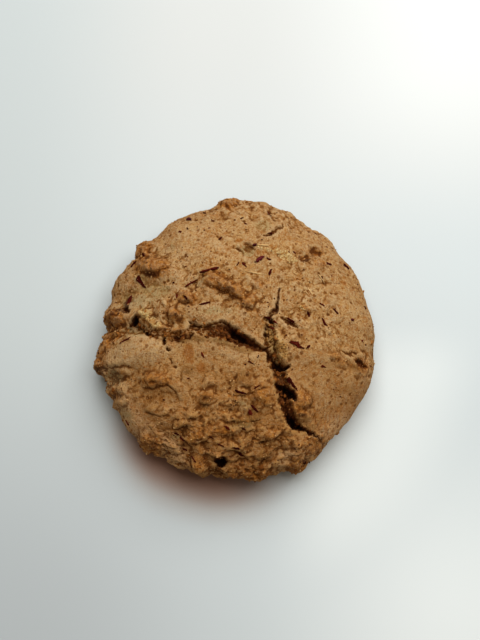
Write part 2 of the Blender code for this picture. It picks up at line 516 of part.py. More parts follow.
def ledges(points):
    """A noise stretched along the rim and cut into steps: flat treads and steep risers."""
    along_rim = lattice_noise(points / np.array(LEDGE_SPACING), 1.0, LEDGE_SEEDS[0])
    share, spacing = LEDGE_BREAKS
    steps = LEDGE_STEPS * (along_rim + share * lattice_noise(points, spacing, LEDGE_SEEDS[1]))
    tread = np.floor(steps)
    return LEDGE_RISE / LEDGE_STEPS * (tread + 1 - fall(steps - tread, RISER_ENDS))


def shape_crust(directions):
    """The baked form: unevenness, lumps and ledges stand out along the surface, tears and holes go straight
    down, and all of it fades out towards the floor, so that the base stays flat."""
    form, ways = cookie_form(directions)
    x, y = form[:, 0], form[:, 1]
    off_floor = smooth(form[:, 2] / FLOOR_MARGIN)
    top = 1 - fall(form[:, 2], TOP_MARGIN)
    nearness = smooth(-NEAR_START - y / RIM_RADIUS)
    at_side = 1 - fall(np.hypot(x, y) / RIM_RADIUS, SIDE_MARGIN)
    rim_rough = at_side * np.clip(LEAST_RIM_ROUGH + bells(x, y, RIM_CRAGS), 0, 1)
    crag = CRAG_SHARES[0] + CRAG_SHARES[1] * nearness + CRAG_SHARES[2] * rim_rough
    crag += layered_noise(form, [CRAG_LAYER]) + bells(x, y, CRAGGY) - bells(x, y, CALM)
    crag = np.clip(crag, *CRAG_RANGE)
    bend = np.stack([lattice_noise(form, BEND_SPACING, seed) for seed in BEND_SEEDS], axis=1)
    bent = form + BEND * bend
    wander = [CRACK_WANDER * lattice_noise(form, CRACK_WANDER_SPACING, seed) for seed in CRACK_WANDER_SEEDS]
    sunk, torn = crack_depth(x + wander[0], y + wander[1])
    rough = layered_noise(form, [BROAD_LAYER]) + crag * layered_noise(bent, ROUGH_LAYERS)
    grain = CALM_SHARE + (1 - CALM_SHARE) * crag
    rough += grain * (pebbles(bent, PEBBLE_LAYERS) - pits(form, PIT_LAYERS))
    rough += crag * nubs(bent, NUB_LAYERS) + rim_rough * nubs(form, RIM_NUB_LAYERS)
    rough += nearness * crag * ledges(bent)
    groove_depth, groove_width = CRUMB_GROOVE
    for spacing, height, seed in CRUMB_LAYERS:
        near, beyond, label = cell_noise(bent, spacing, seed)
        in_crumb = groove_depth * smooth((beyond - near) / groove_width)
        rough += height * torn * top * (label - CRUMB_LEVEL + in_crumb)
    lips = lip_rise(x + LIP_BEND * bend[:, 0], y + LIP_BEND * bend[:, 1])
    swells = bells(x + SWELL_BEND * bend[:, 0], y + SWELL_BEND * bend[:, 1], SWELLS, STEEP_BELL)
    rise = (rough + SWELL_GAIN * swells + lips * top) * off_floor
    shaped = form + ways * rise[:, None]
    shaped[:, 2] -= sunk * top
    shaped[:, 2] = np.maximum(shaped[:, 2], 0)
    return shaped


def mesh_points(mesh):
    """A mesh's points as an array of rows."""
    flat = np.empty(len(mesh.vertices) * 3, np.float32)
    mesh.vertices.foreach_get("co", flat)
    return flat.reshape(-1, 3).astype(float)


def make_crust(collection):
    """A finely divided ball, carried to the form of the cookie and thinned to CRUST_TRIANGLES."""
    bpy.ops.mesh.primitive_ico_sphere_add(subdivisions=BALL_SUBDIVISIONS, radius=1.0)
    crust = bpy.context.active_object
    crust.name = crust.data.name = "cookie"
    for home in list(crust.users_collection):
        home.objects.unlink(crust)
    collection.objects.link(crust)
    directions = mesh_points(crust.data)
    directions /= np.linalg.norm(directions, axis=1, keepdims=True)
    shaped = shape_crust(directions)
    crust.data.vertices.foreach_set("co", (shaped * MM).ravel())
    crust.data.update()
    thin = crust.modifiers.new("thin out", "DECIMATE")
    thin.ratio = CRUST_TRIANGLES / len(crust.data.polygons)
    apply_modifiers(crust)
    return crust, shaped


def apply_modifiers(piece):
    """Puts what the modifiers make into the piece's own mesh."""
    graph = bpy.context.evaluated_depsgraph_get()
    made = bpy.data.meshes.new_from_object(piece.evaluated_get(graph))
    old = piece.data
    piece.modifiers.clear()
    piece.data = made
    bpy.data.meshes.remove(old)
    made.name = piece.name


def crust_place(shaped, x, y):
    """The point of the crust above a place in plan, the highest of those that lie next to it."""
    upper = shaped[shaped[:, 2] > RIM_HEIGHT]
    near = upper[np.argsort(np.hypot(upper[:, 0] - x, upper[:, 1] - y))[:POINTS_BESIDE]]
    return near[np.argmax(near[:, 2])]


def crust_tilt(place):
    """How far the dome leans at a place, as a turn that carries +Z to the way out of the dome."""
    share = min(math.hypot(place[0], place[1]) / RIM_RADIUS, STEEPEST_SHARE)
    slope = (COOKIE_HEIGHT - RIM_HEIGHT) * DOME_ROUNDING * DOME_POWER * share ** (DOME_POWER - 1)
    slope *= (1 - share**DOME_POWER) ** (DOME_ROUNDING - 1) / RIM_RADIUS
    around = math.atan2(place[1], place[0])
    lean = Matrix.Rotation(math.atan(slope), 4, "Y")
    return Matrix.Rotation(around, 4, "Z") @ lean @ Matrix.Rotation(-around, 4, "Z")


def add_bead(collection, name, shaped, entry, thickness):
    """A faceted bead, longer than wide, lying on the crust and sunk into it by most of its thickness."""
    x, y, length, width, turn = entry
    place = crust_place(shaped, x, y)
    lean = crust_tilt(place)
    sink = thickness * (0.5 - SHARE_ABOVE_CRUST)
    size = Matrix.Diagonal((length / 2, width / 2, thickness / 2, 1.0))
    flat_turn = Euler((0, 0, math.radians(turn))).to_matrix().to_4x4()
    middle = Matrix.Translation(place) @ lean @ Matrix.Translation((0, 0, -sink))
    ball = bmesh.new()
    bmesh.ops.create_icosphere(ball, subdivisions=1, radius=1.0)
    ball.transform(Matrix.Scale(MM, 4) @ middle @ flat_turn @ size)
    mesh = bpy.data.meshes.new(name)
    ball.to_mesh(mesh)
    ball.free()
    collection.objects.link(bpy.data.objects.new(name, mesh))


def fuse(crust, collection):
    """Joins every object of the collection to the crust in one union, then removes them."""
    union = crust.modifiers.new("baked in", "BOOLEAN")
    union.operation = "UNION"
    union.solver = "EXACT"
    union.operand_type = "COLLECTION"
    union.collection = collection
    bpy.context.view_layer.update()
    apply_modifiers(crust)
    for bead in list(collection.objects):
        bpy.data.objects.remove(bead, do_unlink=True)
    bpy.data.collections.remove(collection)


def settle(piece):
    """Puts the middle of the piece's box over the origin, and its lowest points exactly on the floor."""
    points = mesh_points(piece.data)
    middle = (points.min(axis=0) + points.max(axis=0)) / 2
    points[:, :2] -= middle[:2]
    points[points[:, 2] < FLOOR_SNAP * MM, 2] = 0
    piece.data.vertices.foreach_set("co", points.ravel())
    piece.data.update()


def main():
    clear_scene()
    parts = new_collection("drop_cookie")
    crust, shaped = make_crust(parts)
    baked_in = new_collection("baked_in")
    for number, entry in enumerate(FLAKES):
        add_bead(baked_in, f"flake_{number}", shaped, entry, FLAKE_THICKNESS)
    for number, entry in enumerate(SHARDS):
        add_bead(baked_in, f"shard_{number}", shaped, entry, SHARD_THICKNESS)
    fuse(crust, baked_in)
    settle(crust)
    crust.data.materials.clear()
    crust.data.materials.append(crust_material())
    crust.data.shade_smooth()
    points = mesh_points(crust.data) / MM
    print("cookie:", len(crust.data.polygons), "faces")
    print("from", points.min(axis=0).round(2), "to", points.max(axis=0).round(2), "mm")


main()
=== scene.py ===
# %% [markdown]
# # A craggy drop cookie, seen from above
#
# This lesson dresses a cookie whose solid is already built. The solid gives the size and the main relief.
# Here the same form is made again, much more finely, so that its crumb, pits and cracks are real geometry.
# Everything is worked out with numpy as whole arrays, and then handed to Blender as meshes.

# %% Load the frame
import math

import bpy
import numpy as np
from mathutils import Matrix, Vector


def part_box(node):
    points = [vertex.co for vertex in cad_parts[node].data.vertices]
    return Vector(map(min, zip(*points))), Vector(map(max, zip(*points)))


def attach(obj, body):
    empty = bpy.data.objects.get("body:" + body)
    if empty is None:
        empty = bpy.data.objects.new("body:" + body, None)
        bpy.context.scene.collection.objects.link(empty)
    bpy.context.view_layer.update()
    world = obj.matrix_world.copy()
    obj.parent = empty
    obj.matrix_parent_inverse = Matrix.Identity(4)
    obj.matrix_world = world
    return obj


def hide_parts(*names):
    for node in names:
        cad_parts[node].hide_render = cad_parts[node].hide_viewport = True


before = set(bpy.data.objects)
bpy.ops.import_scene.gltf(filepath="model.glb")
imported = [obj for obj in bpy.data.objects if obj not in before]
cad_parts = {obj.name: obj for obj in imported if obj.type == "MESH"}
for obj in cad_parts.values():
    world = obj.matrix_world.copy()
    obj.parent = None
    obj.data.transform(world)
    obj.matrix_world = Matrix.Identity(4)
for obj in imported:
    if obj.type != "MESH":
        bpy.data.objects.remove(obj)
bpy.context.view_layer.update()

# %% [markdown]
# ## The plain form
#
# A drop cookie starts as a ball of dough that slumps in the oven. Its section is a flattened dome, a rounded
# undercut below the rim, and a base as flat as the tray. Its outline is a circle that bulges and dents where
# the dough ran out or held back. All sizes are in millimetres, and become metres at the very end.

# %% Section and outline
MM = 0.001
RIM_RADIUS = 43.7
COOKIE_HEIGHT = 27.0
RIM_HEIGHT = 9.0
DOME_POWER = 2.4
DOME_ROUNDING = 0.55
UNDERCUT_POWER = 2.2
BASE_SHARE = 0.88
BASE_WEIGHT = 0.15
PROFILE_STEPS = 400

# Direction in degrees, spread in degrees, extra radius
RIM_BUMPS = [
    (4, 7, 1.1), (18, 8, 0.3), (41, 6, -1), (57, 5, -1), (68, 4, 0.9), (80, 8, 1.8), (93, 3, 1),
    (104, 8, -0.4), (130, 9, -2.7), (145, 6, -2.6), (155, 6, -1.2), (165, 5, -2.5), (178, 5, -5.4),
    (192, 5, -0.7), (202, 5, -0.7), (222, 6, 1.3), (236, 5, -1), (240, 12, 0.9), (275, 10, 0.7),
    (283, 5, 1), (297, 6, 2.9), (330, 16, 0.7), (336, 6, 0.7), (343, 7, 1.2),
]


def outline_radius(angle):
    """The rim's radius in each direction: the plain radius plus a bell-shaped bulge or dent per entry."""
    radius = np.full_like(angle, RIM_RADIUS)
    for direction, spread, extra in RIM_BUMPS:
        away = (np.degrees(angle) - direction + 180) % 360 - 180
        radius += extra * np.exp(-((away / spread) ** 2))
    return radius


def half_section():
    """The section from the top's middle over the rim to the base's middle: each point's share of the rim's
    radius, its height, and the share of the surface passed so far. The dome's height is the rim's plus the
    rise times (1 - share^power)^rounding. The undercut is a quarter of a squarish oval."""
    out = np.sin(np.linspace(0, np.pi / 2, PROFILE_STEPS))
    dome = RIM_HEIGHT + (COOKIE_HEIGHT - RIM_HEIGHT) * (1 - out**DOME_POWER) ** DOME_ROUNDING
    down = np.linspace(0, 1, PROFILE_STEPS)[1:]
    under = BASE_SHARE + (1 - BASE_SHARE) * (1 - down**UNDERCUT_POWER) ** (1 / UNDERCUT_POWER)
    base = np.linspace(BASE_SHARE, 0, PROFILE_STEPS)[1:]
    share = np.concatenate([out, under, base])
    height = np.concatenate([dome, RIM_HEIGHT * (1 - down), np.zeros_like(base)])
    ring_area = np.hypot(np.diff(share) * RIM_RADIUS, np.diff(height)) * (share[1:] + share[:-1])
    ring_area[-len(base):] *= BASE_WEIGHT
    passed = np.concatenate([[0.0], np.cumsum(ring_area)])
    return share, height, passed / passed[-1]


share, height, passed = half_section()
print("section:", len(share), "points,", round(height.max(), 1), "mm high")

# %% [markdown]
# ## A ball without poles
#
# A ball made of rings has a knot of thin faces at each pole, which shows in the middle of the cookie's top.
# A cube whose six sides are square grids has none. Its grid lines are spaced by equal angles, so that the
# cells keep about one size when the cube is blown up to a ball.

# %% The ball grid
BALL_CELLS = 128
MERGE_PLACES = 6


def grid_faces(number):
    """Four-sided faces between the rows and columns of one or more square grids of numbered points."""
    corners = [number[..., :-1, :-1], number[..., :-1, 1:], number[..., 1:, 1:], number[..., 1:, :-1]]
    return np.stack(corners, axis=-1).reshape(-1, 4)


def ball_grid(cells):
    """Points and square faces of a cube of six grids. A grid line's place is the tangent of its angle, and
    every point is then pushed out to distance 1. Points on shared edges are merged."""
    line = np.tan(np.linspace(-np.pi / 4, np.pi / 4, cells + 1))
    u, v = np.meshgrid(line, line)
    one = np.ones_like(u)
    sides = [(u, v, one), (v, u, -one), (one, u, v), (-one, v, u), (v, one, u), (u, -one, v)]
    points = np.concatenate([np.stack(side, axis=-1).reshape(-1, 3) for side in sides])
    points /= np.linalg.norm(points, axis=1, keepdims=True)
    number = np.arange(6 * (cells + 1) ** 2).reshape(6, cells + 1, cells + 1)
    rounded = np.round(points, MERGE_PLACES)
    _, first, merged = np.unique(rounded, axis=0, return_index=True, return_inverse=True)
    return points[first], merged.ravel()[grid_faces(number)]


def cookie_form(directions):
    """Carries a ball's points to the plain form, so that equal areas of the ball become about equal areas of
    the cookie. Returns the points and the way out of the surface at each."""
    at = (1 - directions[:, 2]) / 2
    angle = np.arctan2(directions[:, 1], directions[:, 0])
    reach = np.interp(at, passed, share) * outline_radius(angle)
    points = np.stack([reach * np.cos(angle), reach * np.sin(angle), np.interp(at, passed, height)], axis=1)
    out = np.interp(at, passed, -np.gradient(height))
    up = np.interp(at, passed, np.gradient(share * RIM_RADIUS))
    ways = np.stack([out * np.cos(angle), out * np.sin(angle), up], axis=1)
    return points, ways / np.linalg.norm(ways, axis=1, keepdims=True)


directions, faces = ball_grid(BALL_CELLS)
form, ways = cookie_form(directions)
print("ball grid:", len(directions), "points,", len(faces), "square faces")

# %% [markdown]
# ## Two kinds of noise
#
# Baked dough is uneven in two ways. It swells and sinks smoothly, which slopes of random direction on a
# cubic lattice give once they are blended. It is also made of separate grains and bubbles, which come from
# scattering one random point in each cell of a lattice and measuring the distance to the nearest one. Every
# lattice is turned its own way, because creases that all run along X and Y would look woven.

# %% Lattice noise and cell noise
LATTICE_CELLS = 32
NOISE_GAIN = 1.6
FAR = 99.0


def smooth(share):
    """Rises from 0 to 1 with a level start and end: 3 s^2 - 2 s^3."""
    share = np.clip(share, 0.0, 1.0)
    return share * share * (3 - 2 * share)


def turned(points, draw):
    """The points turned about the origin by a random turn."""
    return points @ np.linalg.qr(draw.normal(size=(3, 3)))[0]


def lattice_noise(points, spacing, seed):
    """Blends, between the points of a cubic lattice, slopes that each pass through 0 at their own point."""
    draw = np.random.default_rng(seed)
    slopes = draw.normal(size=(LATTICE_CELLS, LATTICE_CELLS, LATTICE_CELLS, 3))
    slopes /= np.linalg.norm(slopes, axis=-1, keepdims=True)
    place = turned(points, draw) / spacing
    cell = np.floor(place).astype(int)
    part = place - cell
    blend = smooth(part)
    total = np.zeros(len(points))
    for corner in np.ndindex(2, 2, 2):
        weight = np.prod(np.where(corner, blend, 1 - blend), axis=1)
        slope = slopes[tuple(((cell + corner) % LATTICE_CELLS).T)]
        total += weight * np.sum(slope * (part - corner), axis=1)
    return total * NOISE_GAIN


def cell_noise(points, spacing, seed):
    """Distance to the nearest scattered point and to the second nearest, in spacings, and a random number
    from 0 to 1 that belongs to the nearest."""
    draw = np.random.default_rng(seed)
    scatter = draw.uniform(0, 1, (LATTICE_CELLS, LATTICE_CELLS, LATTICE_CELLS, 3))
    label = draw.uniform(0, 1, (LATTICE_CELLS,) * 3)
    place = turned(points, draw) / spacing
    cell = np.floor(place).astype(int)
    nearest = np.full(len(points), FAR)
    second = np.full(len(points), FAR)
    owner = np.zeros(len(points))
    for step in np.ndindex(3, 3, 3):
        other = cell + np.array(step) - 1
        index = tuple((other % LATTICE_CELLS).T)
        distance = np.linalg.norm(place - other - scatter[index], axis=1)
        closer = distance < nearest
        second = np.where(closer, nearest, np.minimum(second, distance))
        owner = np.where(closer, label[index], owner)
        nearest = np.where(closer, distance, nearest)
    return nearest, second, owner


sample = lattice_noise(form, 10.0, 1)
print("lattice noise:", sample.min().round(2), "to", sample.max().round(2))

# %% [markdown]
# ## Lumps and hollows
#
# These are the features that anyone would recognise this cookie by, so each is placed one by one. A lump is
# an oval with a rise, and a hollow is one with a fall. A bell makes its height die away with the distance.

# %% Lumps and hollows
# Middle x, y, half length, half width, turn in degrees, rise
SWELLS = [
    (-26, 20, 5, 2.8, -15, 2), (-29, 28, 3, 2, 35, 0.9), (-7, 14.2, 2.8, 1.9, 0, 1.1),
    (-3.2, 12.6, 3.4, 1.9, -35, 1.1), (0.6, 10.6, 1.9, 1.9, 0, 0.9), (-14.6, 9.2, 2.8, 1.8, -20, 1.1),
    (4.2, 7.4, 2.4, 1.7, 0, 1.1), (6.4, 12.8, 3.2, 1.1, -35, 0.6), (-18.8, 3.8, 1.9, 1.6, 0, 1.3),
    (26.6, 20.8, 2.2, 1.6, 0, 1), (25, 18, 5, 4, -30, 0.6), (21.9, 5.6, 1.9, 1.1, -10, 0.7),
    (-28, 3.8, 2.1, 1.7, -30, 1.3), (-25.4, 1.6, 1.9, 1.5, -20, 1.1), (-22.8, -0.6, 1.8, 1.3, 0, 0.9),
    (-39.6, 4.4, 2.3, 1.8, 30, 1.3), (-36.4, 2.8, 2.4, 1.7, -10, 1.1), (-39.4, 0.2, 1.9, 1.7, 0, 1.1),
    (-36.2, -0.8, 1.8, 1.5, 0, 0.9), (-42.4, -9.4, 2.2, 1.8, 0, 1.3), (-41.5, -6, 3, 3.4, 0, 1),
    (-30, -7.6, 11, 4.6, 12, 1.6), (-34.4, -13, 2.3, 1.3, -10, 0.9), (-38.6, -17.8, 2.3, 1.5, 10, 0.6),
    (-34.5, -17.8, 2, 1.3, 0, 0.6), (-36.2, -21.6, 2.7, 1.4, -5, 0.55), (-24, -15.6, 5, 1.8, 0, 0.9),
    (-27.6, -33.6, 2.6, 2.2, 30, 1.4), (-24.4, -36, 2.7, 1.6, -30, 1.1), (-12.4, -32.6, 2.1, 1.6, 0, 1.2),
    (-10.6, -38.2, 1.5, 2.7, 15, 0.8), (-9.8, -42, 1.3, 1.9, 10, 0.6), (-3, -31.2, 2.8, 1.7, 0, 0.8),
    (19.2, -21.2, 1.8, 1.4, 0, 1.1), (18.9, -24, 1.6, 1.7, 0, 1.2), (21.8, -22.6, 1.7, 1.5, 0, 0.9),
    (7.6, -21.4, 3, 2.4, 0, 1.1), (-8, -21.2, 2.2, 1.4, 0, 0.9), (-7.6, -17.6, 2, 1.2, 0, 0.6),
    (18.6, -42.4, 2.4, 2, 20, 1.1), (6.8, -44.4, 2, 1.1, 10, 0.9), (10.6, -32.8, 2.8, 1.2, 10, 0.9),
    (24.5, -35, 5, 3, 35, 1), (14.6, -7, 2.4, 3.2, 15, 0.6), (13.4, -16.6, 1.6, 1.2, 0, 0.9),
    (-2.6, 42, 3.4, 2.6, 0, 1.2), (26, -7.2, 6, 4, 0, 0.6), (-8, 3.4, 12, 2.8, -8, 0.9),
    (-13, -26, 2.2, 1, 0, 0.7), (-25.4, -24.6, 1.6, 1, -5, 0.7), (-21, -25.6, 1.3, 0.8, 20, 0.6),
    (-17.6, -26.6, 1.5, 0.8, 0, 0.5), (1, -9, 8, 2.4, -14, 0.5), (-26.3, 12.5, 7, 3.4, -10, -1.6),
    (3.4, 24.2, 2.6, 1.9, 0, -1), (-34.6, 11.4, 2.8, 3.4, 0, -1.3), (-37.8, -14.6, 3, 2.6, 0, -1.2),
    (1.6, -26.6, 5, 1.8, 0, -0.8), (36.6, -10.5, 3.4, 2.4, 20, -1), (-21.5, -21.5, 5, 2.4, 0, -0.7),
    (-12, 13.2, 2.2, 1.4, 30, -0.6), (-4, 36.4, 2.2, 1.2, 0, -0.6), (8.4, 33, 2.6, 2.2, 0, -0.6),
    (28, 14.6, 2, 1.4, 0, -0.5), (30.6, -8.8, 1.8, 1.2, 10, 0.9), (33, -10.6, 1.6, 1.1, -20, 0.8),
    (36, -8.8, 1.3, 1.5, 0, 0.7),
]
SWELL_GAIN = 1.12
SWELL_BEND = 0.6
SWELL_STEEPNESS = 2.7


def oval_distance(x, y, oval):
    """Distance from an oval's middle in its own half sizes, so that 1 is its edge."""
    middle_x, middle_y, half_length, half_width, turn = oval
    cos = math.cos(math.radians(turn))
    sin = math.sin(math.radians(turn))
    along = ((x - middle_x) * cos + (y - middle_y) * sin) / half_length
    across = ((y - middle_y) * cos - (x - middle_x) * sin) / half_width
    return np.hypot(along, across)


def bells(x, y, ovals, steepness=2.0):
    """Each oval's last number times e to the minus distance^steepness, all added up."""
    total = np.zeros_like(x)
    for *oval, height in ovals:
        total += height * np.exp(-(oval_distance(x, y, oval) ** steepness))
    return total


print(len(SWELLS), "lumps and hollows")

# %% [markdown]
# ## Ledges
#
# Where the skin broke and one side slid over the other, the crust has a ledge: a steep edge with a smooth
# rise behind it. Each is a line of corners. Its left side is raised, and its right side drops away.

# %% Ledges
# x, y and rise at each corner
LIPS = {
    "far_left_lump": [(-29.8, 19.6, 0), (-27.4, 17.8, 1.3), (-24.2, 17.6, 1.3), (-21, 19.6, 0)],
    "centre_lump": [(-9.4, 13, 0), (-6, 12, 0.9), (-2.4, 10.6, 1.2), (0.8, 8.9, 1.1), (2.2, 7.4, 0)],
    "side_lump": [(-17.4, 8.6, 0), (-15.6, 7.4, 0.9), (-13, 7.3, 0.9), (-11.2, 8.6, 0)],
    "small_lump": [(1.8, 6.8, 0), (3.2, 5.6, 0.8), (5.4, 5.6, 0.8), (6.6, 7, 0)],
    "plateau_edge": [
        (-44.4, -11.9, 0), (-41.8, -11.6, 1.2), (-38.2, -10.9, 1), (-34.4, -10.8, 0.6), (-30, -11.8, 0),
    ],
    "left_ledge": [
        (-29.6, -17.4, 0), (-27, -18.2, 0.9), (-24.4, -18.5, 1), (-22.6, -17.6, 0.9), (-20.6, -17.6, 0.9),
        (-18.4, -18.8, 0.7), (-17.2, -20.6, 0.5), (-16.6, -23.6, 0.3), (-15.8, -25.6, 0),
    ],
    "brown_band": [(-28.6, -15.2, 0), (-26, -16.4, 0.8), (-22.6, -16.2, 0.7), (-20, -15.4, 0)],
    "left_rim_upper": [(-40.4, -17.8, 0), (-37.8, -19.2, 0.4), (-34.8, -19, 0.4), (-33, -17.6, 0)],
    "left_rim_lower": [(-38.8, -21.4, 0), (-36.8, -22.8, 0.35), (-34.2, -22.8, 0.35), (-32.4, -21.4, 0)],
    "row": [(-28.4, -25, 0), (-26.6, -25.6, 0.5), (-22.4, -26.8, 0.6), (-19.4, -26.4, 0)],
    "tooth": [(-15.2, -26, 0), (-13.8, -27.6, 1), (-11.2, -27.6, 1), (-9.8, -26.6, 0)],
    "brow": [(-18.8, -30.6, 0), (-16.6, -29.6, 0.9), (-14.4, -29.6, 1), (-13.2, -30.8, 0)],
    "near_left": [
        (-26, -33.6, 0), (-23.2, -34.4, 1), (-19.8, -35.6, 1.1), (-17.4, -36, 0.7), (-15.8, -36.2, 0),
    ],
    "near_middle": [
        (-16.2, -33.2, 0), (-13.8, -34.4, 1), (-11.2, -35, 1.2), (-9, -34.2, 1), (-7.2, -32.8, 0),
    ],
    "knot": [(-11, -22.8, 0), (-9.4, -23.8, 1), (-7.2, -23.8, 1), (-5.4, -22.4, 0)],
    "bump_foot": [(4.4, -20.5, 0), (6.4, -19.5, 0.8), (8.8, -18.6, 0.8), (11, -18.2, 0)],
    "middle_crease": [(-2, -20.4, 0), (0.4, -21, 0.8), (2.8, -20.9, 0.9), (4.4, -20, 0)],
    "long_fold": [(-6, -27.4, 0), (-2.4, -28.7, 0.6), (2, -28.8, 0.7), (6, -28.7, 0.5), (8.6, -27.6, 0)],
    "front": [(5.6, -35, 0), (8.4, -34.7, 1), (11, -34.3, 1.1), (13.4, -33, 0.7), (15, -31.6, 0)],
    "low_fold": [(-3.8, -36.4, 0), (-1, -37, 1), (1.8, -37.8, 1), (3.6, -39.2, 0.6), (4.6, -40.6, 0)],
    "low_arc": [(1.6, -42.2, 0), (4.8, -42, 0.9), (8, -40.6, 0.9), (10.8, -38.4, 0)],
    "hole_brow": [(-9.8, -37, 0), (-7.8, -38, 1), (-5.4, -38.3, 1.3), (-3, -38.7, 1.1), (-1, -39.8, 0)],
    "ridge": [
        (-14.4, -37.2, 0), (-12.8, -39.2, 1.1), (-11.5, -41.6, 1.2), (-10.3, -43.4, 0.8), (-9.6, -44.6, 0),
    ],
    "crack_cliff": [(23.4, -24.6, 0), (20.6, -25.6, 1), (18.6, -25.4, 1), (17.2, -23.6, 0)],
}
LIP_REACH = 2.6
LIP_EDGE = 0.55


def stretches(x, y, corners):
    """For each stretch between two corners: every place's distance from it, how far to its left the place
    is, and the corners' other numbers, blended by how far along the stretch its nearest point is."""
    for (x0, y0, *start), (x1, y1, *end) in zip(corners, corners[1:]):
        run_x, run_y = x1 - x0, y1 - y0
        part = np.clip(((x - x0) * run_x + (y - y0) * run_y) / (run_x**2 + run_y**2), 0, 1)
        distance = np.hypot(x - x0 - part * run_x, y - y0 - part * run_y)
        side = ((y - y0) * run_x - (x - x0) * run_y) / math.hypot(run_x, run_y)
        yield distance, side, [first + part * (last - first) for first, last in zip(start, end)]


def lip_rise(x, y):
    """How far the ledges raise each place: on a line's left, its rise there times a bell of the distance."""
    total = np.zeros_like(x)
    for corners in LIPS.values():
        nearest = np.full(len(x), FAR)
        rise = np.zeros(len(x))
        for distance, side, (high,) in stretches(x, y, corners):
            here = high * smooth(0.5 + side / LIP_EDGE) * np.exp(-((distance / LIP_REACH) ** 2))
            rise = np.where(distance < nearest, here, rise)
            nearest = np.minimum(nearest, distance)
        total += rise
    return total


print("ledges:", ", ".join(LIPS))

# %% [markdown]
# ## Tears, slots and holes
#
# The dough tore in two ways. Wide, shallow tears show crumb, and inside them narrow slots go deep and dark.
# Both are lines with a half width and a depth at each corner. Holes are ovals with a depth. Where they
# overlap, the deepest counts.

# %% Tears, slots and holes
# Wide tears with a crumbly floor: x, y, half width and depth at each corner of the middle line
TEARS = {
    "cross_tear": [
        (-13, -0.8, 1, 0.7), (-9, -1.8, 1.8, 1.3), (-6.3, -2, 2.3, 1.7), (-3.9, -2.1, 2.7, 2.1),
        (-0.8, -3, 2.6, 2.6), (2.2, -4.5, 2.1, 2.6), (5.2, -6, 1.6, 2.2), (8, -7.2, 0.9, 1.8),
    ],
    "west_tear": [
        (-37, -1.6, 0.7, 0.3), (-34, -0.8, 1.2, 0.9), (-30.1, -0.2, 1.8, 1.3), (-26, -1.3, 1.6, 0.9),
        (-21.9, -2.8, 2, 0.9), (-17.6, -3.6, 2, 1.1), (-14, -2.6, 1.4, 0.9),
    ],
    "down_tear": [
        (10.4, 1.4, 1.4, 0.3), (10.8, -2, 1.8, 0.5), (10.6, -5.6, 1.7, 1.1), (11.6, -9.6, 2, 1.9),
        (13.6, -14.5, 2, 2.2), (14.8, -19, 2.2, 2.8), (15, -23.5, 1.6, 2.4), (17.2, -28, 1.8, 2.6),
        (20, -30.8, 1.1, 1.4),
    ],
}
# Narrow slots, in the same form
SLOTS = {
    "cross_lip": [
        (-13.3, 1.3, 0.4, 1.2), (-11.8, 0, 0.45, 1.8), (-9.6, -0.6, 0.35, 1.6), (-6.9, 0.1, 0.35, 1.6),
        (-3.9, 0.9, 0.35, 1.8), (-1.2, -0.4, 0.4, 2.4), (1.6, -2.3, 0.45, 3), (4.6, -4.2, 0.4, 2.6),
        (8.6, -7.2, 0.4, 2.6),
    ],
    "cross_hollow": [
        (-4, -1, 0.4, 2.6), (-1.6, -1.4, 0.8, 4), (-0.2, -2.3, 1.1, 6.5), (1.8, -3.5, 1.2, 7.5),
        (3.4, -4.7, 0.8, 5), (6.6, -6.4, 0.5, 3),
    ],
    "crumb_stripe": [(9.4, -7.2, 0.5, 2.6), (10.2, -9.2, 0.6, 3.4), (11.6, -11.2, 0.7, 4.5)],
    "step_slot": [
        (11.6, -11.4, 0.8, 5), (13.2, -12.6, 1.2, 7.5), (15.2, -13.1, 1.1, 6.5), (16.6, -12.4, 0.6, 3),
    ],
    "middle_slot": [
        (13.2, -18.2, 0.8, 4.5), (14.6, -18.9, 1.2, 7.5), (16.6, -20.2, 1.3, 8), (17.8, -21.8, 0.7, 4.5),
    ],
    "lower_crevice": [(14.9, -21.3, 0.6, 4), (15.3, -23, 0.6, 4), (15, -24.8, 0.6, 3.6)],
    "lower_slot": [
        (15.2, -24.9, 0.6, 3.6), (16.4, -26.6, 0.8, 5), (17, -28.2, 1.1, 7), (18, -29.8, 1.3, 8),
        (19.6, -30.7, 0.8, 5), (21.8, -31.2, 0.5, 3), (24, -31.6, 0.5, 2.4), (25.8, -33.1, 0.5, 1.6),
    ],
    "upper_hairline": [
        (13.9, 11.8, 0.3, 0.6), (13.3, 8.6, 0.32, 0.9), (13.2, 6.2, 0.42, 2), (12.2, 4.4, 0.6, 2.2),
        (10.6, 2.4, 0.4, 1.2),
    ],
    "right_groove": [(14.6, 2.4, 0.5, 0.8), (16.9, 1.1, 0.8, 1.4), (19, -0.2, 0.5, 0.8)],
    "far_crack": [(15.3, 33.7, 0.5, 0.7), (12.4, 30.9, 0.7, 1.2), (9.6, 29.4, 0.6, 0.8)],
    "right_crack": [(33, -7.2, 0.45, 0.7), (35.6, -7.6, 0.5, 1), (38, -6.8, 0.45, 0.7)],
}
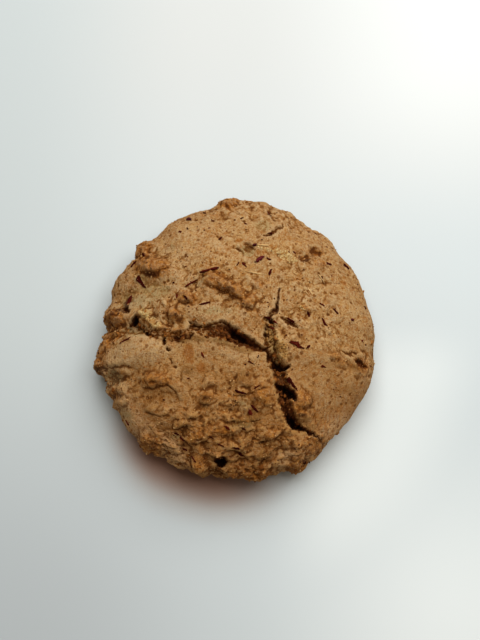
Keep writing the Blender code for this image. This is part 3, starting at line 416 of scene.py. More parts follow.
# Middle x, y, half length, half width, turn in degrees, depth
HOLES = [
    (-30.5, 2.5, 2.1, 1.3, 48, 6.5), (-26.8, -1.6, 1.8, 0.8, -27, 4.5), (-34.2, 6.4, 1.6, 0.8, -47, 3),
    (-20.1, -7, 0.7, 0.5, -70, 2), (-4.2, -40, 2.5, 1.7, -30, 6.5), (38.8, -10.4, 1.8, 1.1, -30, 2.6),
    (4.4, 25.4, 2.4, 1.6, -20, 0.8), (1.6, 24.6, 1.6, 0.9, -48, 0.8), (25.1, 25, 2.8, 1.6, -16, 1.3),
    (21.6, 22, 2, 0.9, 20, 1), (-18, -3.8, 1.4, 0.7, -10, 3), (-21.6, -4.2, 0.9, 1.1, 20, 2.4),
    (-15.2, -4, 0.8, 0.5, 0, 2), (11.3, 1.2, 1.3, 0.8, -20, 2.6), (9.6, -3, 1.4, 0.7, -30, 3),
    (11, 38.6, 1, 0.7, -60, 1.2), (-19.3, -10.9, 0.9, 0.5, -60, 0.9), (-17.9, -12.6, 1, 0.6, -35, 0.9),
]
# Where a side starts and how wide it is, in half widths
SLOT_WALL = (1.08, 0.5)
HOLE_SIDE = (1.15, 0.9)
TORN_EDGE = (1.3, 0.45)
LIP_AT = 1.0
LIP_SPREAD = 0.28
FULL_LIP_DEPTH = 2.0


def inside(distance, side):
    """0 beyond the start of a side, 1 once past its whole width, and smooth on the way."""
    start, width = side
    return smooth((start - distance) / width)


def line_distance(x, y, corners):
    """Distance from a line of corners, in its half width there, and its depth there, for each place."""
    share = np.full(len(x), FAR)
    depth = np.zeros(len(x))
    for distance, _, (half, deep) in stretches(x, y, corners):
        here = distance / half
        depth = np.where(here < share, deep, depth)
        share = np.minimum(share, here)
    return share, depth


def crack_depth(x, y):
    """How deep the tears, slots and holes reach below the crust, the share of each place that is torn, and
    how much it is on the lip of a slot."""
    sunk = np.zeros_like(x)
    torn = np.zeros_like(x)
    lip_line = np.zeros_like(x)
    for corners in TEARS.values():
        share, depth = line_distance(x, y, corners)
        sunk = np.maximum(sunk, depth * inside(share, SLOT_WALL))
        torn = np.maximum(torn, inside(share, TORN_EDGE))
    for corners in SLOTS.values():
        share, depth = line_distance(x, y, corners)
        sunk = np.maximum(sunk, depth * inside(share, SLOT_WALL))
        on_lip = np.exp(-(((share - LIP_AT) / LIP_SPREAD) ** 2))
        lip_line = np.maximum(lip_line, on_lip * np.clip(depth / FULL_LIP_DEPTH, 0, 1))
    for *oval, deep in HOLES:
        sunk = np.maximum(sunk, deep * inside(oval_distance(x, y, oval), HOLE_SIDE))
    return sunk, torn, lip_line


print(len(TEARS), "tears,", len(SLOTS), "slots and", len(HOLES), "holes")

# %% [markdown]
# ## Calm skin and craggy dough
#
# Some of the crust is a calm skin with a fine grain. Elsewhere it is craggy, above all on the near side and
# along parts of the rim. Lumps caught most heat in the oven, so they are browner and have a crinkled skin.
# Ovals say where each of these is so, and how much.

# %% Where it is craggy, calm or browned
# Middle x, y, half length, half width, turn in degrees, amount
CRAGGY = [
    (-38.5, 2, 6, 5.5, 60, 0.9), (-39, -13.5, 5, 5, 0, 0.8), (-33, -20, 6, 4, 0, 0.6),
    (1, -21, 9, 6, 0, 0.5), (-9, -35, 17, 6, 0, 0.9), (9, -38, 12, 5, 0, 0.8), (19.8, -23.6, 4, 4, 0, 0.8),
    (38.5, -9, 4, 4, 0, 0.8), (-2.6, 42, 5, 3, 0, 0.7), (-30, 24, 6, 5, 0, 0.6), (23, 23.5, 6, 3, 0, 0.5),
    (14, 0, 7, 5, 0, 0.6), (21, -39, 6, 4, 0, 0.6), (-18, -1, 8, 3, 0, 0.7), (-26, 4, 5, 4, 0, 0.7),
    (-6, 12, 9, 6, -30, 0.4), (14, 38, 6, 4, 0, 0.4), (14.4, -8, 2.6, 3.8, 15, 1),
]
CALM = [
    (-28, -9, 12, 6, 15, 0.9), (-24, -24, 7, 4, 0, 0.7), (-31, -28, 5, 7, 45, 1), (29, -19, 8, 9, 0, 0.7),
    (36, -22, 8, 10, -30, 0.5), (38, 8, 6, 14, 15, 0.4), (-12, 29, 12, 8, 0, 0.4),
    (-5, -12, 10, 4, -15, 0.3),
]
RIM_CRAGS = [
    (-42, 2, 6, 7, 0, 0.9), (-41, -14, 5, 5, 0, 0.8), (-36, -24, 5, 4, 0, 0.2), (-27, -35, 6, 4, 0, 0.4),
    (-9, -43, 10, 4, 0, 0.7), (7, -44, 6, 3, 0, 0.7), (19, -42, 3, 3, 0, 0.6), (-30, 28, 5, 4, 0, 0.7),
    (-1, 43, 6, 3, 0, 0.6), (16, 40, 3, 2, 0, 0.4), (40, -10, 3, 3, 0, 0.4),
]
BROWNED = [
    (-26, 20, 4.8, 3, -20, 1.3), (-3.9, 13.4, 6.4, 2.8, -35, 1.2), (-14, 8.4, 3.2, 2.2, -10, 0.8),
    (-19.2, 4, 2.4, 2, 20, 0.8), (-38.5, 3, 4.2, 3.8, 60, 1.1), (-38.6, -2, 2.2, 3, 0, 1),
    (-43.2, -10.8, 2.4, 2.2, 0, 1.1), (-2.6, 43, 3.6, 2.4, 0, 0.9), (-29, 27, 3.4, 2.8, 40, 0.9),
    (19.8, -23.6, 3.4, 3.4, 0, 0.6), (19.4, -41.9, 3.4, 2.8, 30, 1), (-37.5, -20, 3, 2.2, 0, 0.7),
    (-24, -16.6, 4.4, 1.6, 0, 0.8), (25.4, 25, 2.8, 1.6, 0, 1.1), (21.6, 22.2, 2.2, 1.2, 0, 1.1),
    (39, -10.6, 2.2, 2.2, 0, 1), (5.4, -43.6, 8, 1.8, 0, 1), (-17.6, -3, 5, 2.4, 0, 0.8),
    (4.6, 8.2, 2.6, 1.8, 0, 0.8), (-24, -33.5, 3.6, 2.4, 0, 0.7), (-10, -31, 4, 2.6, 0, 0.5),
    (20.6, 5.4, 2.4, 1.4, -30, 0.7), (8.5, 12.6, 3.6, 1.8, -35, 0.5), (36.5, -6, 1.6, 2.4, 0, 0.5),
    # The last three, wide and weak, darken the near middle: painted shade as well as browning
    (2, -20, 9, 8, 0, 0.28), (-22, -27, 9, 3.5, 0, 0.28), (-8, -13, 9, 5, 0, 0.2),
]
LUMP_LONGEST = 6.0
LUMP_LEAST = 0.7
LUMP_TOAST = 0.7

lumps = [(*oval, LUMP_TOAST) for *oval, high in SWELLS if high > LUMP_LEAST and oval[2] < LUMP_LONGEST]
print(len(lumps), "of the lumps are browned too")

# %% [markdown]
# ## Nubs, pebbles, pits and ledges
#
# Nubs of oat and dough stand out of the crust, each a small dome with a crease round its foot. Pebbles are
# packed side by side, as flour and sugar are. Bubbles burst and left pits. On the near side the dough
# slumped while it set, so it lies in treads and risers.

# %% The rough relief
# Spacing, height and seed of each layer
BROAD_LAYERS = [(14.0, 0.9, 11)]
ROUGH_LAYERS = [(6.5, 1.0, 12), (3.4, 0.7, 13)]
CRINKLE_LAYERS = [(2.0, 0.5, 14), (1.1, 0.3, 15)]
PEBBLE_LAYERS = [(2.6, 0.42, 61), (1.5, 0.24, 62), (0.95, 0.15, 63)]
CRUMB_LAYERS = [(1.9, 1.1, 36), (1.1, 0.6, 39)]
# Spacing, height, share of the cells that have one, and seed
NUB_LAYERS = [(6.5, 1.0, 0.45, 31), (3.9, 0.75, 0.45, 32), (2.2, 0.5, 0.5, 33)]
PIT_LAYERS = [(3.2, 0.6, 0.25, 34), (1.9, 0.45, 0.3, 35)]
RIM_NUB_LAYERS = [(3.0, 0.9, 0.5, 37), (1.7, 0.6, 0.5, 38)]
PEBBLE_RADIUS = 0.8
NUB_RADIUS = (0.18, 0.48)
PIT_RADIUS = 0.26
LEDGE_SPACING = (10.0, 4.2, 3.2)
LEDGE_STEPS = 2.6
LEDGE_RISE = 0.95


def layered_noise(points, layers):
    """Height times lattice noise for each layer, added up."""
    return sum(height * lattice_noise(points, spacing, seed) for spacing, height, seed in layers)


def pebbles(points, layers):
    """Domes packed side by side, each of its own height: 1 - (distance / radius)^2."""
    rise = np.zeros(len(points))
    for spacing, height, seed in layers:
        near, _, label = cell_noise(points, spacing, seed)
        rise += height * (0.3 + 0.7 * label) * np.clip(1 - (near / PEBBLE_RADIUS) ** 2, 0, 1)
    return rise


def nubs(points, layers):
    """A dome over each scattered point whose number is above 1 - share: (1 - (distance / radius)^2)^0.75.
    The radius and the height grow with the number."""
    rise = np.zeros(len(points))
    for spacing, height, share, seed in layers:
        near, _, label = cell_noise(points, spacing, seed)
        size = np.clip((label - (1 - share)) / share, 0, 1)
        radius = NUB_RADIUS[0] + (NUB_RADIUS[1] - NUB_RADIUS[0]) * size
        dome = np.clip(1 - (near / radius) ** 2, 0, 1) ** 0.75
        rise += height * (0.3 + 0.7 * size) * dome * (size > 0)
    return rise


def pits(points, layers):
    """Round pits with soft lips, under the scattered points whose number is above 1 - share."""
    sunk = np.zeros(len(points))
    for spacing, depth, share, seed in layers:
        near, _, label = cell_noise(points, spacing, seed)
        sunk += depth * smooth(1.15 - near / PIT_RADIUS) * (label > 1 - share)
    return sunk


def ledges(points):
    """A noise stretched along X, as the near rim runs, and cut into steps: flat treads, steep risers."""
    stretched = points / np.array(LEDGE_SPACING)
    steps = LEDGE_STEPS * (lattice_noise(stretched, 1.0, 41) + 0.3 * lattice_noise(points, 2.4, 42))
    tread = np.floor(steps)
    return LEDGE_RISE / LEDGE_STEPS * (tread + smooth((steps - tread - 0.3) / 0.4))


print("layers of nubs:", len(NUB_LAYERS), "of pebbles:", len(PEBBLE_LAYERS))

# %% [markdown]
# ## The crust, point by point
#
# Relief stands out along the surface, so that it also roughens the side and the outline. Cracks go straight
# down. Both fade out towards the floor, where the dough lay flat on the tray. The places of the cracks
# wander a little by noise, because dough tears along its grains and never straight.

# %% Where the cracks go
FLOOR_MARGIN = 2.5
TOP_MARGIN = (3.0, 10.0)
BEND = 0.9
BEND_SPACING = 2.2
CRACK_WANDER = 0.5
CRACK_WANDER_SPACING = 2.6
CRACK_JAG = 0.65
CRACK_JAG_SPACING = 1.3

x, y = form[:, 0], form[:, 1]
off_floor = smooth(form[:, 2] / FLOOR_MARGIN)
top = smooth((form[:, 2] - TOP_MARGIN[0]) / (TOP_MARGIN[1] - TOP_MARGIN[0]))
bend = np.stack([lattice_noise(form, BEND_SPACING, seed) for seed in (51, 52, 53)], axis=1)
bent = form + BEND * bend

crack_x = x + CRACK_WANDER * lattice_noise(form, CRACK_WANDER_SPACING, 21)
crack_y = y + CRACK_WANDER * lattice_noise(form, CRACK_WANDER_SPACING, 22)
crack_x += CRACK_JAG * lattice_noise(form, CRACK_JAG_SPACING, 23)
crack_y += CRACK_JAG * lattice_noise(form, CRACK_JAG_SPACING, 24)
sunk, torn, lip_line = crack_depth(crack_x, crack_y)
sunk *= top
torn *= top
print("deepest crack:", sunk.max().round(1), "mm; torn:", round(100 * torn.mean(), 1), "% of the points")

# %% [markdown]
# ## How rough each place is
#
# The numbers below say how much of the rough relief each place gets: more on the near side, along the
# craggy parts of the rim and inside the ovals, and less where the skin is calm. The torn floor of a crack
# gets crumbs of its own instead, each with a label that gives its height and, later, its colour.

# %% The crust's points
PLAIN_CRAG = 0.42
NEAR_CRAG = 0.3
RIM_CRAG = 0.3
CRAG_WANDER = 0.35
CRAG_WANDER_SPACING = 11.0
CRAG_LIMITS = (0.1, 1.15)
EDGE_BEND = 0.5

nearness = smooth(-0.1 - y / RIM_RADIUS)
at_side = smooth((np.hypot(x, y) / RIM_RADIUS - 0.82) / 0.14)
rim_rough = at_side * np.clip(0.15 + bells(x, y, RIM_CRAGS), 0, 1)
crag = PLAIN_CRAG + NEAR_CRAG * nearness + RIM_CRAG * rim_rough
crag += CRAG_WANDER * lattice_noise(form, CRAG_WANDER_SPACING, 71)
crag = np.clip(crag + bells(x, y, CRAGGY) - bells(x, y, CALM), *CRAG_LIMITS)

crumb = np.zeros(len(form))
for spacing, high, seed in CRUMB_LAYERS:
    near, beyond, crumb_label = cell_noise(bent, spacing, seed)
    crumb += high * torn * (crumb_label - 0.4 + 0.5 * smooth((beyond - near) / 0.4) - 0.5)

rough = layered_noise(form, BROAD_LAYERS) + crag * layered_noise(bent, ROUGH_LAYERS)
rough += (0.35 + 0.65 * crag) * (pebbles(bent, PEBBLE_LAYERS) - pits(form, PIT_LAYERS))
rough += crag * nubs(bent, NUB_LAYERS) + rim_rough * nubs(form, RIM_NUB_LAYERS)
rough += nearness * crag * ledges(bent)
edge_x, edge_y = x + EDGE_BEND * bend[:, 1], y + EDGE_BEND * bend[:, 2]
toasted = np.clip(bells(edge_x, edge_y, BROWNED + lumps), 0, 1) * top
rough += toasted * layered_noise(bent, CRINKLE_LAYERS)
lips = lip_rise(x + EDGE_BEND * bend[:, 0], y + EDGE_BEND * bend[:, 1])
swell_x, swell_y = x + SWELL_BEND * bend[:, 0], y + SWELL_BEND * bend[:, 1]
swells = SWELL_GAIN * bells(swell_x, swell_y, SWELLS, SWELL_STEEPNESS)

rise = (rough + swells + lips * top + crumb) * off_floor
crust = form + ways * rise[:, None]
crust[:, 2] -= sunk
crust[:, 2] = np.maximum(crust[:, 2], 0)
print("crust:", crust.min(axis=0).round(2), crust.max(axis=0).round(2), "mm in the dough's own plan")

# %% [markdown]
# ## From arrays to meshes
#
# Everything is worked out in the dough's own plan. The middle of its box lies a little beside the plan's
# origin, so each piece is moved by the same amount as it becomes a mesh, and lands on the solid.

# %% Mesh helpers
low, high = (np.array(corner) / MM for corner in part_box("cookie"))
crust_middle = (crust.min(axis=0) + crust.max(axis=0)) / 2
place = (low + high) / 2 - crust_middle
place[2] = 0
print("moved by", place.round(3), "mm; solid", low.round(2), high.round(2))


def make_piece(name, points, faces, values):
    """A mesh object from points in millimetres and four-sided faces, shaded smooth, with one float attribute
    for each entry of values."""
    mesh = bpy.data.meshes.new(name)
    mesh.vertices.add(len(points))
    mesh.vertices.foreach_set("co", ((points + place) * MM).astype(np.float32).ravel())
    mesh.loops.add(faces.size)
    mesh.loops.foreach_set("vertex_index", faces.astype(np.int32).ravel())
    mesh.polygons.add(len(faces))
    mesh.polygons.foreach_set("loop_start", np.arange(0, faces.size, 4, dtype=np.int32))
    mesh.update(calc_edges=True)
    mesh.shade_smooth()
    for key, numbers in values.items():
        add_values(mesh, key, numbers)
    piece = bpy.data.objects.new(name, mesh)
    bpy.context.scene.collection.objects.link(piece)
    return piece


def add_values(mesh, key, numbers):
    """Keeps one number for each point of a mesh, for its finish to read."""
    mesh.attributes.new(key, "FLOAT", "POINT").data.foreach_set("value", numbers.astype(np.float32))


def bake_in(piece, material):
    """Gives a piece its finish, and lets it stand for the cookie's solid and go where the cookie goes."""
    piece.data.materials.append(material)
    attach(piece, "root")
    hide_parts("cookie")
    print(piece.name + ":", len(piece.data.polygons), "faces,", len(material.node_tree.nodes), "nodes")


def ring_mean(numbers, faces, rounds):
    """Each point's number averaged with those of the faces round it, again and again."""
    for _ in range(rounds):
        of_faces = numbers[faces].mean(axis=1)
        total = np.bincount(faces.ravel(), np.repeat(of_faces, faces.shape[1]), len(numbers))
        numbers = total / np.bincount(faces.ravel(), minlength=len(numbers))
    return numbers


# %% [markdown]
# ## Where the colours lie
#
# Some colours belong to one place, such as an amber spot or a greyish hollow, and so do painted light and
# painted shade, such as the dark underside of a lump. They are ovals in the same form as the lumps, with an
# amount in place of the rise.

# %% Coloured places
# Pale dough in hollows; then lighter places, partly paler skin and partly painted light
PALE = [
    (3.6, 24.6, 2.2, 1.6, 0, 1), (-25.5, 12.5, 6, 3, -10, 0.9), (-28.5, 8.5, 4.5, 2.4, 0, 0.7),
    (4.6, 23.6, 1.8, 1.5, 0, 1.2), (-32, -0.6, 2.6, 1.2, -20, 0.9), (-35, 10.5, 2.4, 3.4, 0, 0.9),
    (8.5, 33.5, 3.2, 2.6, 0, 0.7), (-38, -14, 2.8, 2.8, 0, 0.9), (1.6, -30, 5, 1.6, 0, 0.6),
    (-6, 4.2, 7, 1.8, 0, 0.7), (-29.8, -1.2, 2.6, 1.6, -30, 1.2), (-4.2, -4.8, 2.6, 1, -15, 0.75),
    (10.6, -2.6, 1.6, 2.6, 20, 1), (13.8, -15.6, 1.6, 1.8, 0, 0.9), (-33, -26, 4, 5, 45, 0.6),
    (-30, 17, 2, 1.6, 0, 0.8), (-9.6, 14.2, 3, 1, 30, 0.7), (-19.8, 26.4, 1.4, 1.2, 0, 0.9),
    (-7, 35.6, 1.6, 1.2, 0, 0.8), (3, -23.5, 3, 2, 0, 0.5), (-17.5, -32.8, 2, 1, 0, 0.8),
]
LIGHT = [
    (20, -23, 3, 3.4, 0, 0.9), (-39.5, -6, 4, 4, 0, 1.2), (-37.5, -15.5, 4, 4, 0, 1),
    (-28, -8, 11, 5, 15, 1.2), (1, -9.5, 9, 3, -12, 0.6), (-10, 27, 12, 7, 0, 0.4), (24, 12, 9, 8, 0, 0.3),
    (-22, -24, 7, 3, 0, 0.6), (-20, 14, 14, 10, 0, 0.5),
]
# The flanks, lighter taupe partly as painted bounce light, and the part of them that dried in fibres
FLANK = [
    (-37, -20, 6, 4.5, -60, 1), (-31, -29, 7, 4.5, -50, 1), (-22, -37, 9, 5, -28, 1.3),
    (-39.5, -13, 4, 7, -15, 0.8), (31, -31, 9, 4.5, 48, 1), (40, -14, 3, 9, 0, 0.6),
    (42, 6, 2.6, 12, 0, 0.4), (19, -39, 8, 3.4, 20, 1.3),
]
FIBROUS = [(30, -26, 7, 7, 0, 1), (26, -34, 5, 4, 40, 0.8), (-30, -30, 5, 4, -45, 0.5)]
# Soaked-in sugar, and yellow crumb
AMBER = [
    (-14, -8.4, 1.6, 2.2, 0, 1.7), (-10, -12.9, 1.3, 1.5, 0, 1.5), (-12.6, -11.2, 0.9, 0.7, -50, 0.7),
    (25.8, 24.6, 1.9, 1, -20, 0.9), (14.4, -6.6, 2, 3, 20, 0.55), (15, -10.6, 1.6, 1.4, 0, 0.5),
    (1.6, 27.8, 1.8, 0.9, -20, 1), (8, 23.4, 2.8, 1.2, -10, 0.8), (12.2, 24.4, 0.8, 1.6, 0, 0.9),
    (13.9, 21.6, 1.2, 1.1, 0, 1), (34.5, 15.4, 0.7, 1.6, 0, 0.9), (20.3, 5.5, 2, 1.1, -30, 0.7),
    (8.3, 25.9, 2.2, 0.6, 0, 0.8), (19.4, -24.4, 1.4, 1.8, 40, 0.8),
]
YELLOW = [
    (-27.4, 4.3, 2.8, 1.8, -39, 1), (16, 22.6, 2.6, 1.9, -30, 0.8), (-23.6, 0.2, 2.4, 1.4, 0, 0.7),
    (13.2, -7.4, 2.3, 4.6, 15, 1.3),
]
# Dark marks, with painted shade under lumps and along the cross tear, and places painted in shade
DARK_MARKS_AND_SHADE = [
    (-26, 17.3, 3.2, 1.2, 0, 0.9), (-1.5, 10.9, 3.5, 0.9, -25, 0.8), (-40.5, -10.6, 2.6, 1.2, 10, 0.9),
    (-24, -15.6, 3.5, 0.7, 0, 0.7), (3.8, 27, 1.9, 0.5, 0, 0.6), (1.3, 24.4, 0.6, 0.8, -45, 0.6),
    (-6.6, -1, 2.6, 0.7, 0, 0.75), (-2.4, -0.8, 2.4, 1.2, -25, 0.7), (5.6, -5.8, 2.4, 1, -40, 0.75),
    (2.6, -2.9, 2, 0.7, -45, 0.9), (-11.4, -1.2, 1.6, 0.8, -10, 0.7), (-15, -3.4, 3.4, 1.5, 0, 0.62),
    (-4, -3.6, 4.2, 1.4, -15, 0.5), (3.4, -5.2, 3, 1, -35, 0.55), (-35, 10.5, 1.2, 2.6, 0, 0.55),
    (-35.4, 6.8, 1.4, 2, 0, 0.55), (24.6, 23.6, 0.9, 0.9, 0, 0.7), (21.8, 21.3, 2, 0.5, 15, 1.2),
    (19.8, 22.4, 0.5, 1, 0, 0.9), (10.8, 37.6, 1, 1.2, 0, 1), (-19, -11.5, 1.6, 1.2, 0, 0.7),
    (-8, -21.5, 2.2, 1, 0, 0.8), (13.7, 11.3, 0.5, 0.9, 0, 1.2), (13.4, 9, 0.5, 1.2, 0, 1),
    (13, 6.2, 0.6, 1.6, 0, 1.2), (12.2, 4.3, 1.1, 1.1, 0, 1.2), (10.8, -0.3, 3, 0.5, 0, 0.9),
    (9.8, -2.8, 0.9, 0.9, 0, 1.1), (10.6, -3.6, 1, 1, 0, 0.9), (-34, 8.2, 0.9, 2.2, 10, 0.9),
    (-37.6, 5.4, 1, 0.8, 0, 0.9), (38.6, -9.6, 1.4, 1.2, -40, 0.9), (-36.2, 6.6, 0.8, 0.7, 0, 0.9),
    (-40.6, 1.6, 0.8, 1.4, 0, 0.8), (-42, 3.6, 1, 1.6, 0, 0.7), (-38.6, 0.9, 1.8, 0.6, 0, 0.8),
    (-43.4, -12, 1.4, 0.8, 0, 0.8), (-20.4, 3, 1.6, 0.8, -20, 0.7), (-14.6, 7.4, 2, 0.5, 0, 0.7),
    (-18, -3.8, 1.8, 0.8, -10, 0.8), (-21.6, -4.2, 1, 1.2, 20, 0.8), (-17.7, 3.2, 1, 0.6, 0, 0.9),
    (-33.6, 6, 1.2, 0.8, 0, 0.9), (-12, 0.8, 1, 0.6, -30, 0.9), (20, -26, 2, 0.8, 0, 0.7),
    (10.5, 2.2, 1.4, 0.5, -20, 1), (11, 1, 0.6, 1, 0, 1), (5.4, 5.4, 1.6, 0.5, 0, 0.6),
    (-16, -35.4, 2.4, 0.6, -10, 0.7), (-12.8, -40.2, 0.5, 2.6, 20, 0.8), (-38, -16, 2, 0.8, 0, 0.6),
    (8.4, -35.4, 3, 0.5, 10, 0.8), (-3, -37.4, 2.4, 0.5, 0, 0.7),
]
SHADED = [
    (-15.1, -3.9, 2.6, 1.5, 0, 1.3), (-10.6, -4.2, 3, 1.2, 0, 0.8), (-4, -5.2, 3.4, 1.3, -15, 0.8),
    (1, -7.3, 3.4, 1.3, -25, 0.8), (4.8, -7.6, 2, 1, -30, 0.8), (9.4, -0.6, 1.8, 1.4, 0, 0.8),
    (11, -2, 1.6, 2, 0, 0.6), (-14.4, -13.7, 2.6, 2, 0, 0.6), (-10.5, -24.1, 3.2, 2.2, 0, 0.6),
    (3.1, -15.3, 4.4, 2.4, -15, 0.6), (-1.4, -18.3, 3.4, 2, 0, 0.6), (6.1, -27.1, 3.4, 2.4, 0, 0.8),
    (1.6, -29.1, 3.6, 1.4, 0, 0.8), (-24.3, -23.7, 5, 2.4, 0, 0.5), (9.2, -38.6, 3.4, 2.2, 0, 0.7),
    (37.3, -11.4, 2, 1.6, 0, 0.9),
]

print(len(DARK_MARKS_AND_SHADE), "dark nicks,", len(SHADED), "shaded places,", len(AMBER), "amber ones")

# %% [markdown]
# ## How the colours follow the relief
#
# Peaks brown first, so a point is browner the more it stands out over its neighbourhood. Hollows keep the
# colour of pale dough. The torn crumb inside the cracks never met the oven's heat directly. Each of these is
# a number at each point of the mesh, which the finish reads.

# %% Values for the colours
EDGE_ROUNDS = 2
CREASE_ROUNDS = 7
PEAK_ROUNDS = 60
# Relief, in millimetres, that counts as a full edge, crease or peak, and a depth that counts as full
FULL_EDGE = 0.08
FULL_CREST = 0.22
FULL_PEAK = 0.8
FULL_DEPTH = 5.5
UNDERSIDE_HEIGHT = 1.5

relief = rise - sunk
stand_out = relief - ring_mean(relief, faces, CREASE_ROUNDS)
stand_out_fine = relief - ring_mean(relief, faces, EDGE_ROUNDS)
stand_out_wide = relief - ring_mean(relief, faces, PEAK_ROUNDS)


def placed(ovals, most=1.0):
    """The ovals' bells, with wandering edges and up to a most."""
    return np.clip(bells(edge_x, edge_y, ovals), 0, most)


values = {
    "browned": toasted + 0.3 * np.clip(stand_out_wide / FULL_PEAK, -1, 1),
    "dark": placed(DARK_MARKS_AND_SHADE, 1.2) * top,
    "pale": placed(PALE) * top,
    "light": placed(LIGHT) * top,
    "flank": placed(FLANK),
    "amber": placed(AMBER) * top,
    "yellow": placed(YELLOW) * top,
    "shaded": placed(SHADED, 1.3) * top,
    "fibrous": placed(FIBROUS),
    "torn": torn,
    "crumb_label": crumb_label,
    "depth": np.clip(sunk / FULL_DEPTH, 0, 1),
    # Crest, edge and hollow tell the finish where to paint highlights and shade
    "crest": np.clip(stand_out / FULL_CREST, -1, 1),
    "edge": np.clip(stand_out_fine / FULL_EDGE, -1, 1),
    "hollow": np.clip(-stand_out_wide / FULL_PEAK, 0, 1),
    # Where the finish paints shade: the near half, and the near and left sides
    "near_half": smooth(0.2 - 1.1 * y / RIM_RADIUS),
    "near_side": np.clip(0.8 * nearness + (0.4 - 0.4 * smooth(x / RIM_RADIUS)) * at_side, 0, 1),
    "lip": lip_line * top,
    "underside": smooth(1 - form[:, 2] / UNDERSIDE_HEIGHT),
}
crust_piece = make_piece("crust", crust, faces, values)
print("crust:", len(crust), "points; crest from", values["crest"].min().round(2))

# %% [markdown]
# ## Shader maths as plain expressions
#
# A material is arithmetic on sockets. The class below wraps a socket, so that `1 - mask` or `mask * 0.3`
# adds the Math node by itself. The second class holds one material and the colour painted so far, and its
# one method `node` adds any node.

# %% Sockets that can be added and multiplied
class Flow:
    """A number that flows out of a node. Arithmetic on it adds a Math node and returns its result."""

    def __init__(self, finish, socket):
        self.finish = finish
        self.socket = socket

    def math(self, operation, first, second):
        return self.finish.node("ShaderNodeMath", {"operation": operation}, {0: first, 1: second})

    def __add__(self, other):
        return self.math("ADD", self, other)

    def __radd__(self, other):
        return self.math("ADD", other, self)

    def __sub__(self, other):
        return self.math("SUBTRACT", self, other)

    def __rsub__(self, other):
        return self.math("SUBTRACT", other, self)

    def __mul__(self, other):
        return self.math("MULTIPLY", self, other)

    def __rmul__(self, other):
        return self.math("MULTIPLY", other, self)

    def between(self, low, high):
        """A smooth step from 0 at low to 1 at high. With low above high, it is 1 below high and 0 above
        low."""
        settings = {"interpolation_type": "SMOOTHSTEP"}
        return self.finish.node("ShaderNodeMapRange", settings, {0: self, 1: low, 2: high}, 0)


class Finish:
    """One material, the nodes in it and the colour painted so far."""

    def __init__(self, name, colour=None):
        self.material = bpy.data.materials.new(name)
        self.material.use_nodes = True
        self.tree = self.material.node_tree
        self.tree.nodes.clear()
        self.colour = colour

    def node(self, kind, settings, sockets, out=0):
        """Adds a node of a kind, sets its settings first, then each socket to a value or a link, and returns
        the output numbered or named by out. The setting "stops" fills a colour ramp."""
        made = self.tree.nodes.new(kind)
        for key, value in settings.items():
            if key == "stops":
                ramp = made.color_ramp
                while len(ramp.elements) < len(value):
                    ramp.elements.new(0.5)
                for element, (at, colour) in zip(ramp.elements, value):
                    element.position = at
                    element.color = (*colour, 1.0)
            else:
                setattr(made, key, value)
        for key, value in sockets.items():
            socket = made.inputs[key]
            if isinstance(value, Flow):
                self.tree.links.new(value.socket, socket)
            elif isinstance(value, tuple) and len(value) == 3 and socket.type == "RGBA":
                socket.default_value = (*value, 1.0)
            else:
                socket.default_value = value
        return Flow(self, made.outputs[out]) if made.outputs else None

    def value_of(self, key):
        """One of the mesh's own numbers."""
        return self.node("ShaderNodeAttribute", {"attribute_name": key}, {}, "Fac")

    def place(self):
        """The place on the object, in metres."""
        return self.node("ShaderNodeTexCoord", {}, {}, "Object")

    def noise(self, size, detail, rough=0.55):
        """Smooth noise from 0 to 1 whose blobs are about size millimetres wide."""
        sockets = {"Vector": self.place(), "Scale": 1 / (size * MM), "Detail": detail, "Roughness": rough}
        return self.node("ShaderNodeTexNoise", {}, sockets)

    def cells(self, size, out):
        """Cells about size millimetres wide, one round each of many scattered points: the "Distance" to the
        point, or a random "Color" for the cell, which as a number is its grey."""
        sockets = {"Vector": self.place(), "Scale": 1 / (size * MM)}
        return self.node("ShaderNodeTexVoronoi", {}, sockets, out)

    def ramp(self, mask, stops):
        """A colour found on a ramp, whose stops are places from 0 to 1 with a colour each."""
        return self.node("ShaderNodeValToRGB", {"stops": stops}, {"Fac": mask})

    def mix(self, mask, first, second, blend="MIX"):
        """The first colour where the mask is 0 and the second where it is 1."""
        settings = {"data_type": "RGBA", "blend_type": blend, "clamp_factor": True}
        return self.node("ShaderNodeMix", settings, {0: mask, 6: first, 7: second}, 2)

    def paint(self, colour, mask, blend="MIX"):
        """Lays a colour over what is painted so far, where the mask is 1."""
        self.colour = self.mix(mask, self.colour, colour, blend)

    def bump(self, strength, depth, height):
        """The way out of the surface, once a height from 0 to 1 is raised by a depth in millimetres."""
        sockets = {"Strength": strength, "Distance": depth * MM, "Height": height}
        return self.node("ShaderNodeBump", {}, sockets)

    def finish_with(self, roughness, specular=0.5, normal=None):
        """Closes the material with a Principled shader of the painted colour, and returns the material."""
        sockets = {"Base Color": self.colour, "Roughness": roughness, "Specular IOR Level": specular}
        if normal:
            sockets["Normal"] = normal
        shader = self.node("ShaderNodeBsdfPrincipled", {}, sockets)
        self.node("ShaderNodeOutputMaterial", {}, {"Surface": shader})
        return self.material


# %% [markdown]
# ## Baked crust: the dough
#
# Baked dough is never one colour for more than a millimetre, because grains of flour, sugar and oats each
# brown differently. So the colour is painted in layers. The first are broad: two tans in a fine mottle,
# ochre in drifts, and a darker, warmer brown on the near half and on the near and left sides, which is
# painted shade. The flanks get a lighter taupe, partly their own colour and partly painted bounce light, and
# lighter patches come partly from noise, partly from paler skin and partly from painted light.

# %% Dough and patches
DARK_TAN = (0.290, 0.160, 0.062)
TAN = (0.385, 0.250, 0.120)
OCHRE = (0.375, 0.215, 0.080)
SHADED_NEAR_TAN = (0.292, 0.147, 0.048)
SHADE_AND_FIBRE_BROWN = (0.300, 0.134, 0.050)
LIT_FLANK_TAUPE = (0.540, 0.335, 0.170)
LIGHT_TAN = (0.480, 0.335, 0.180)

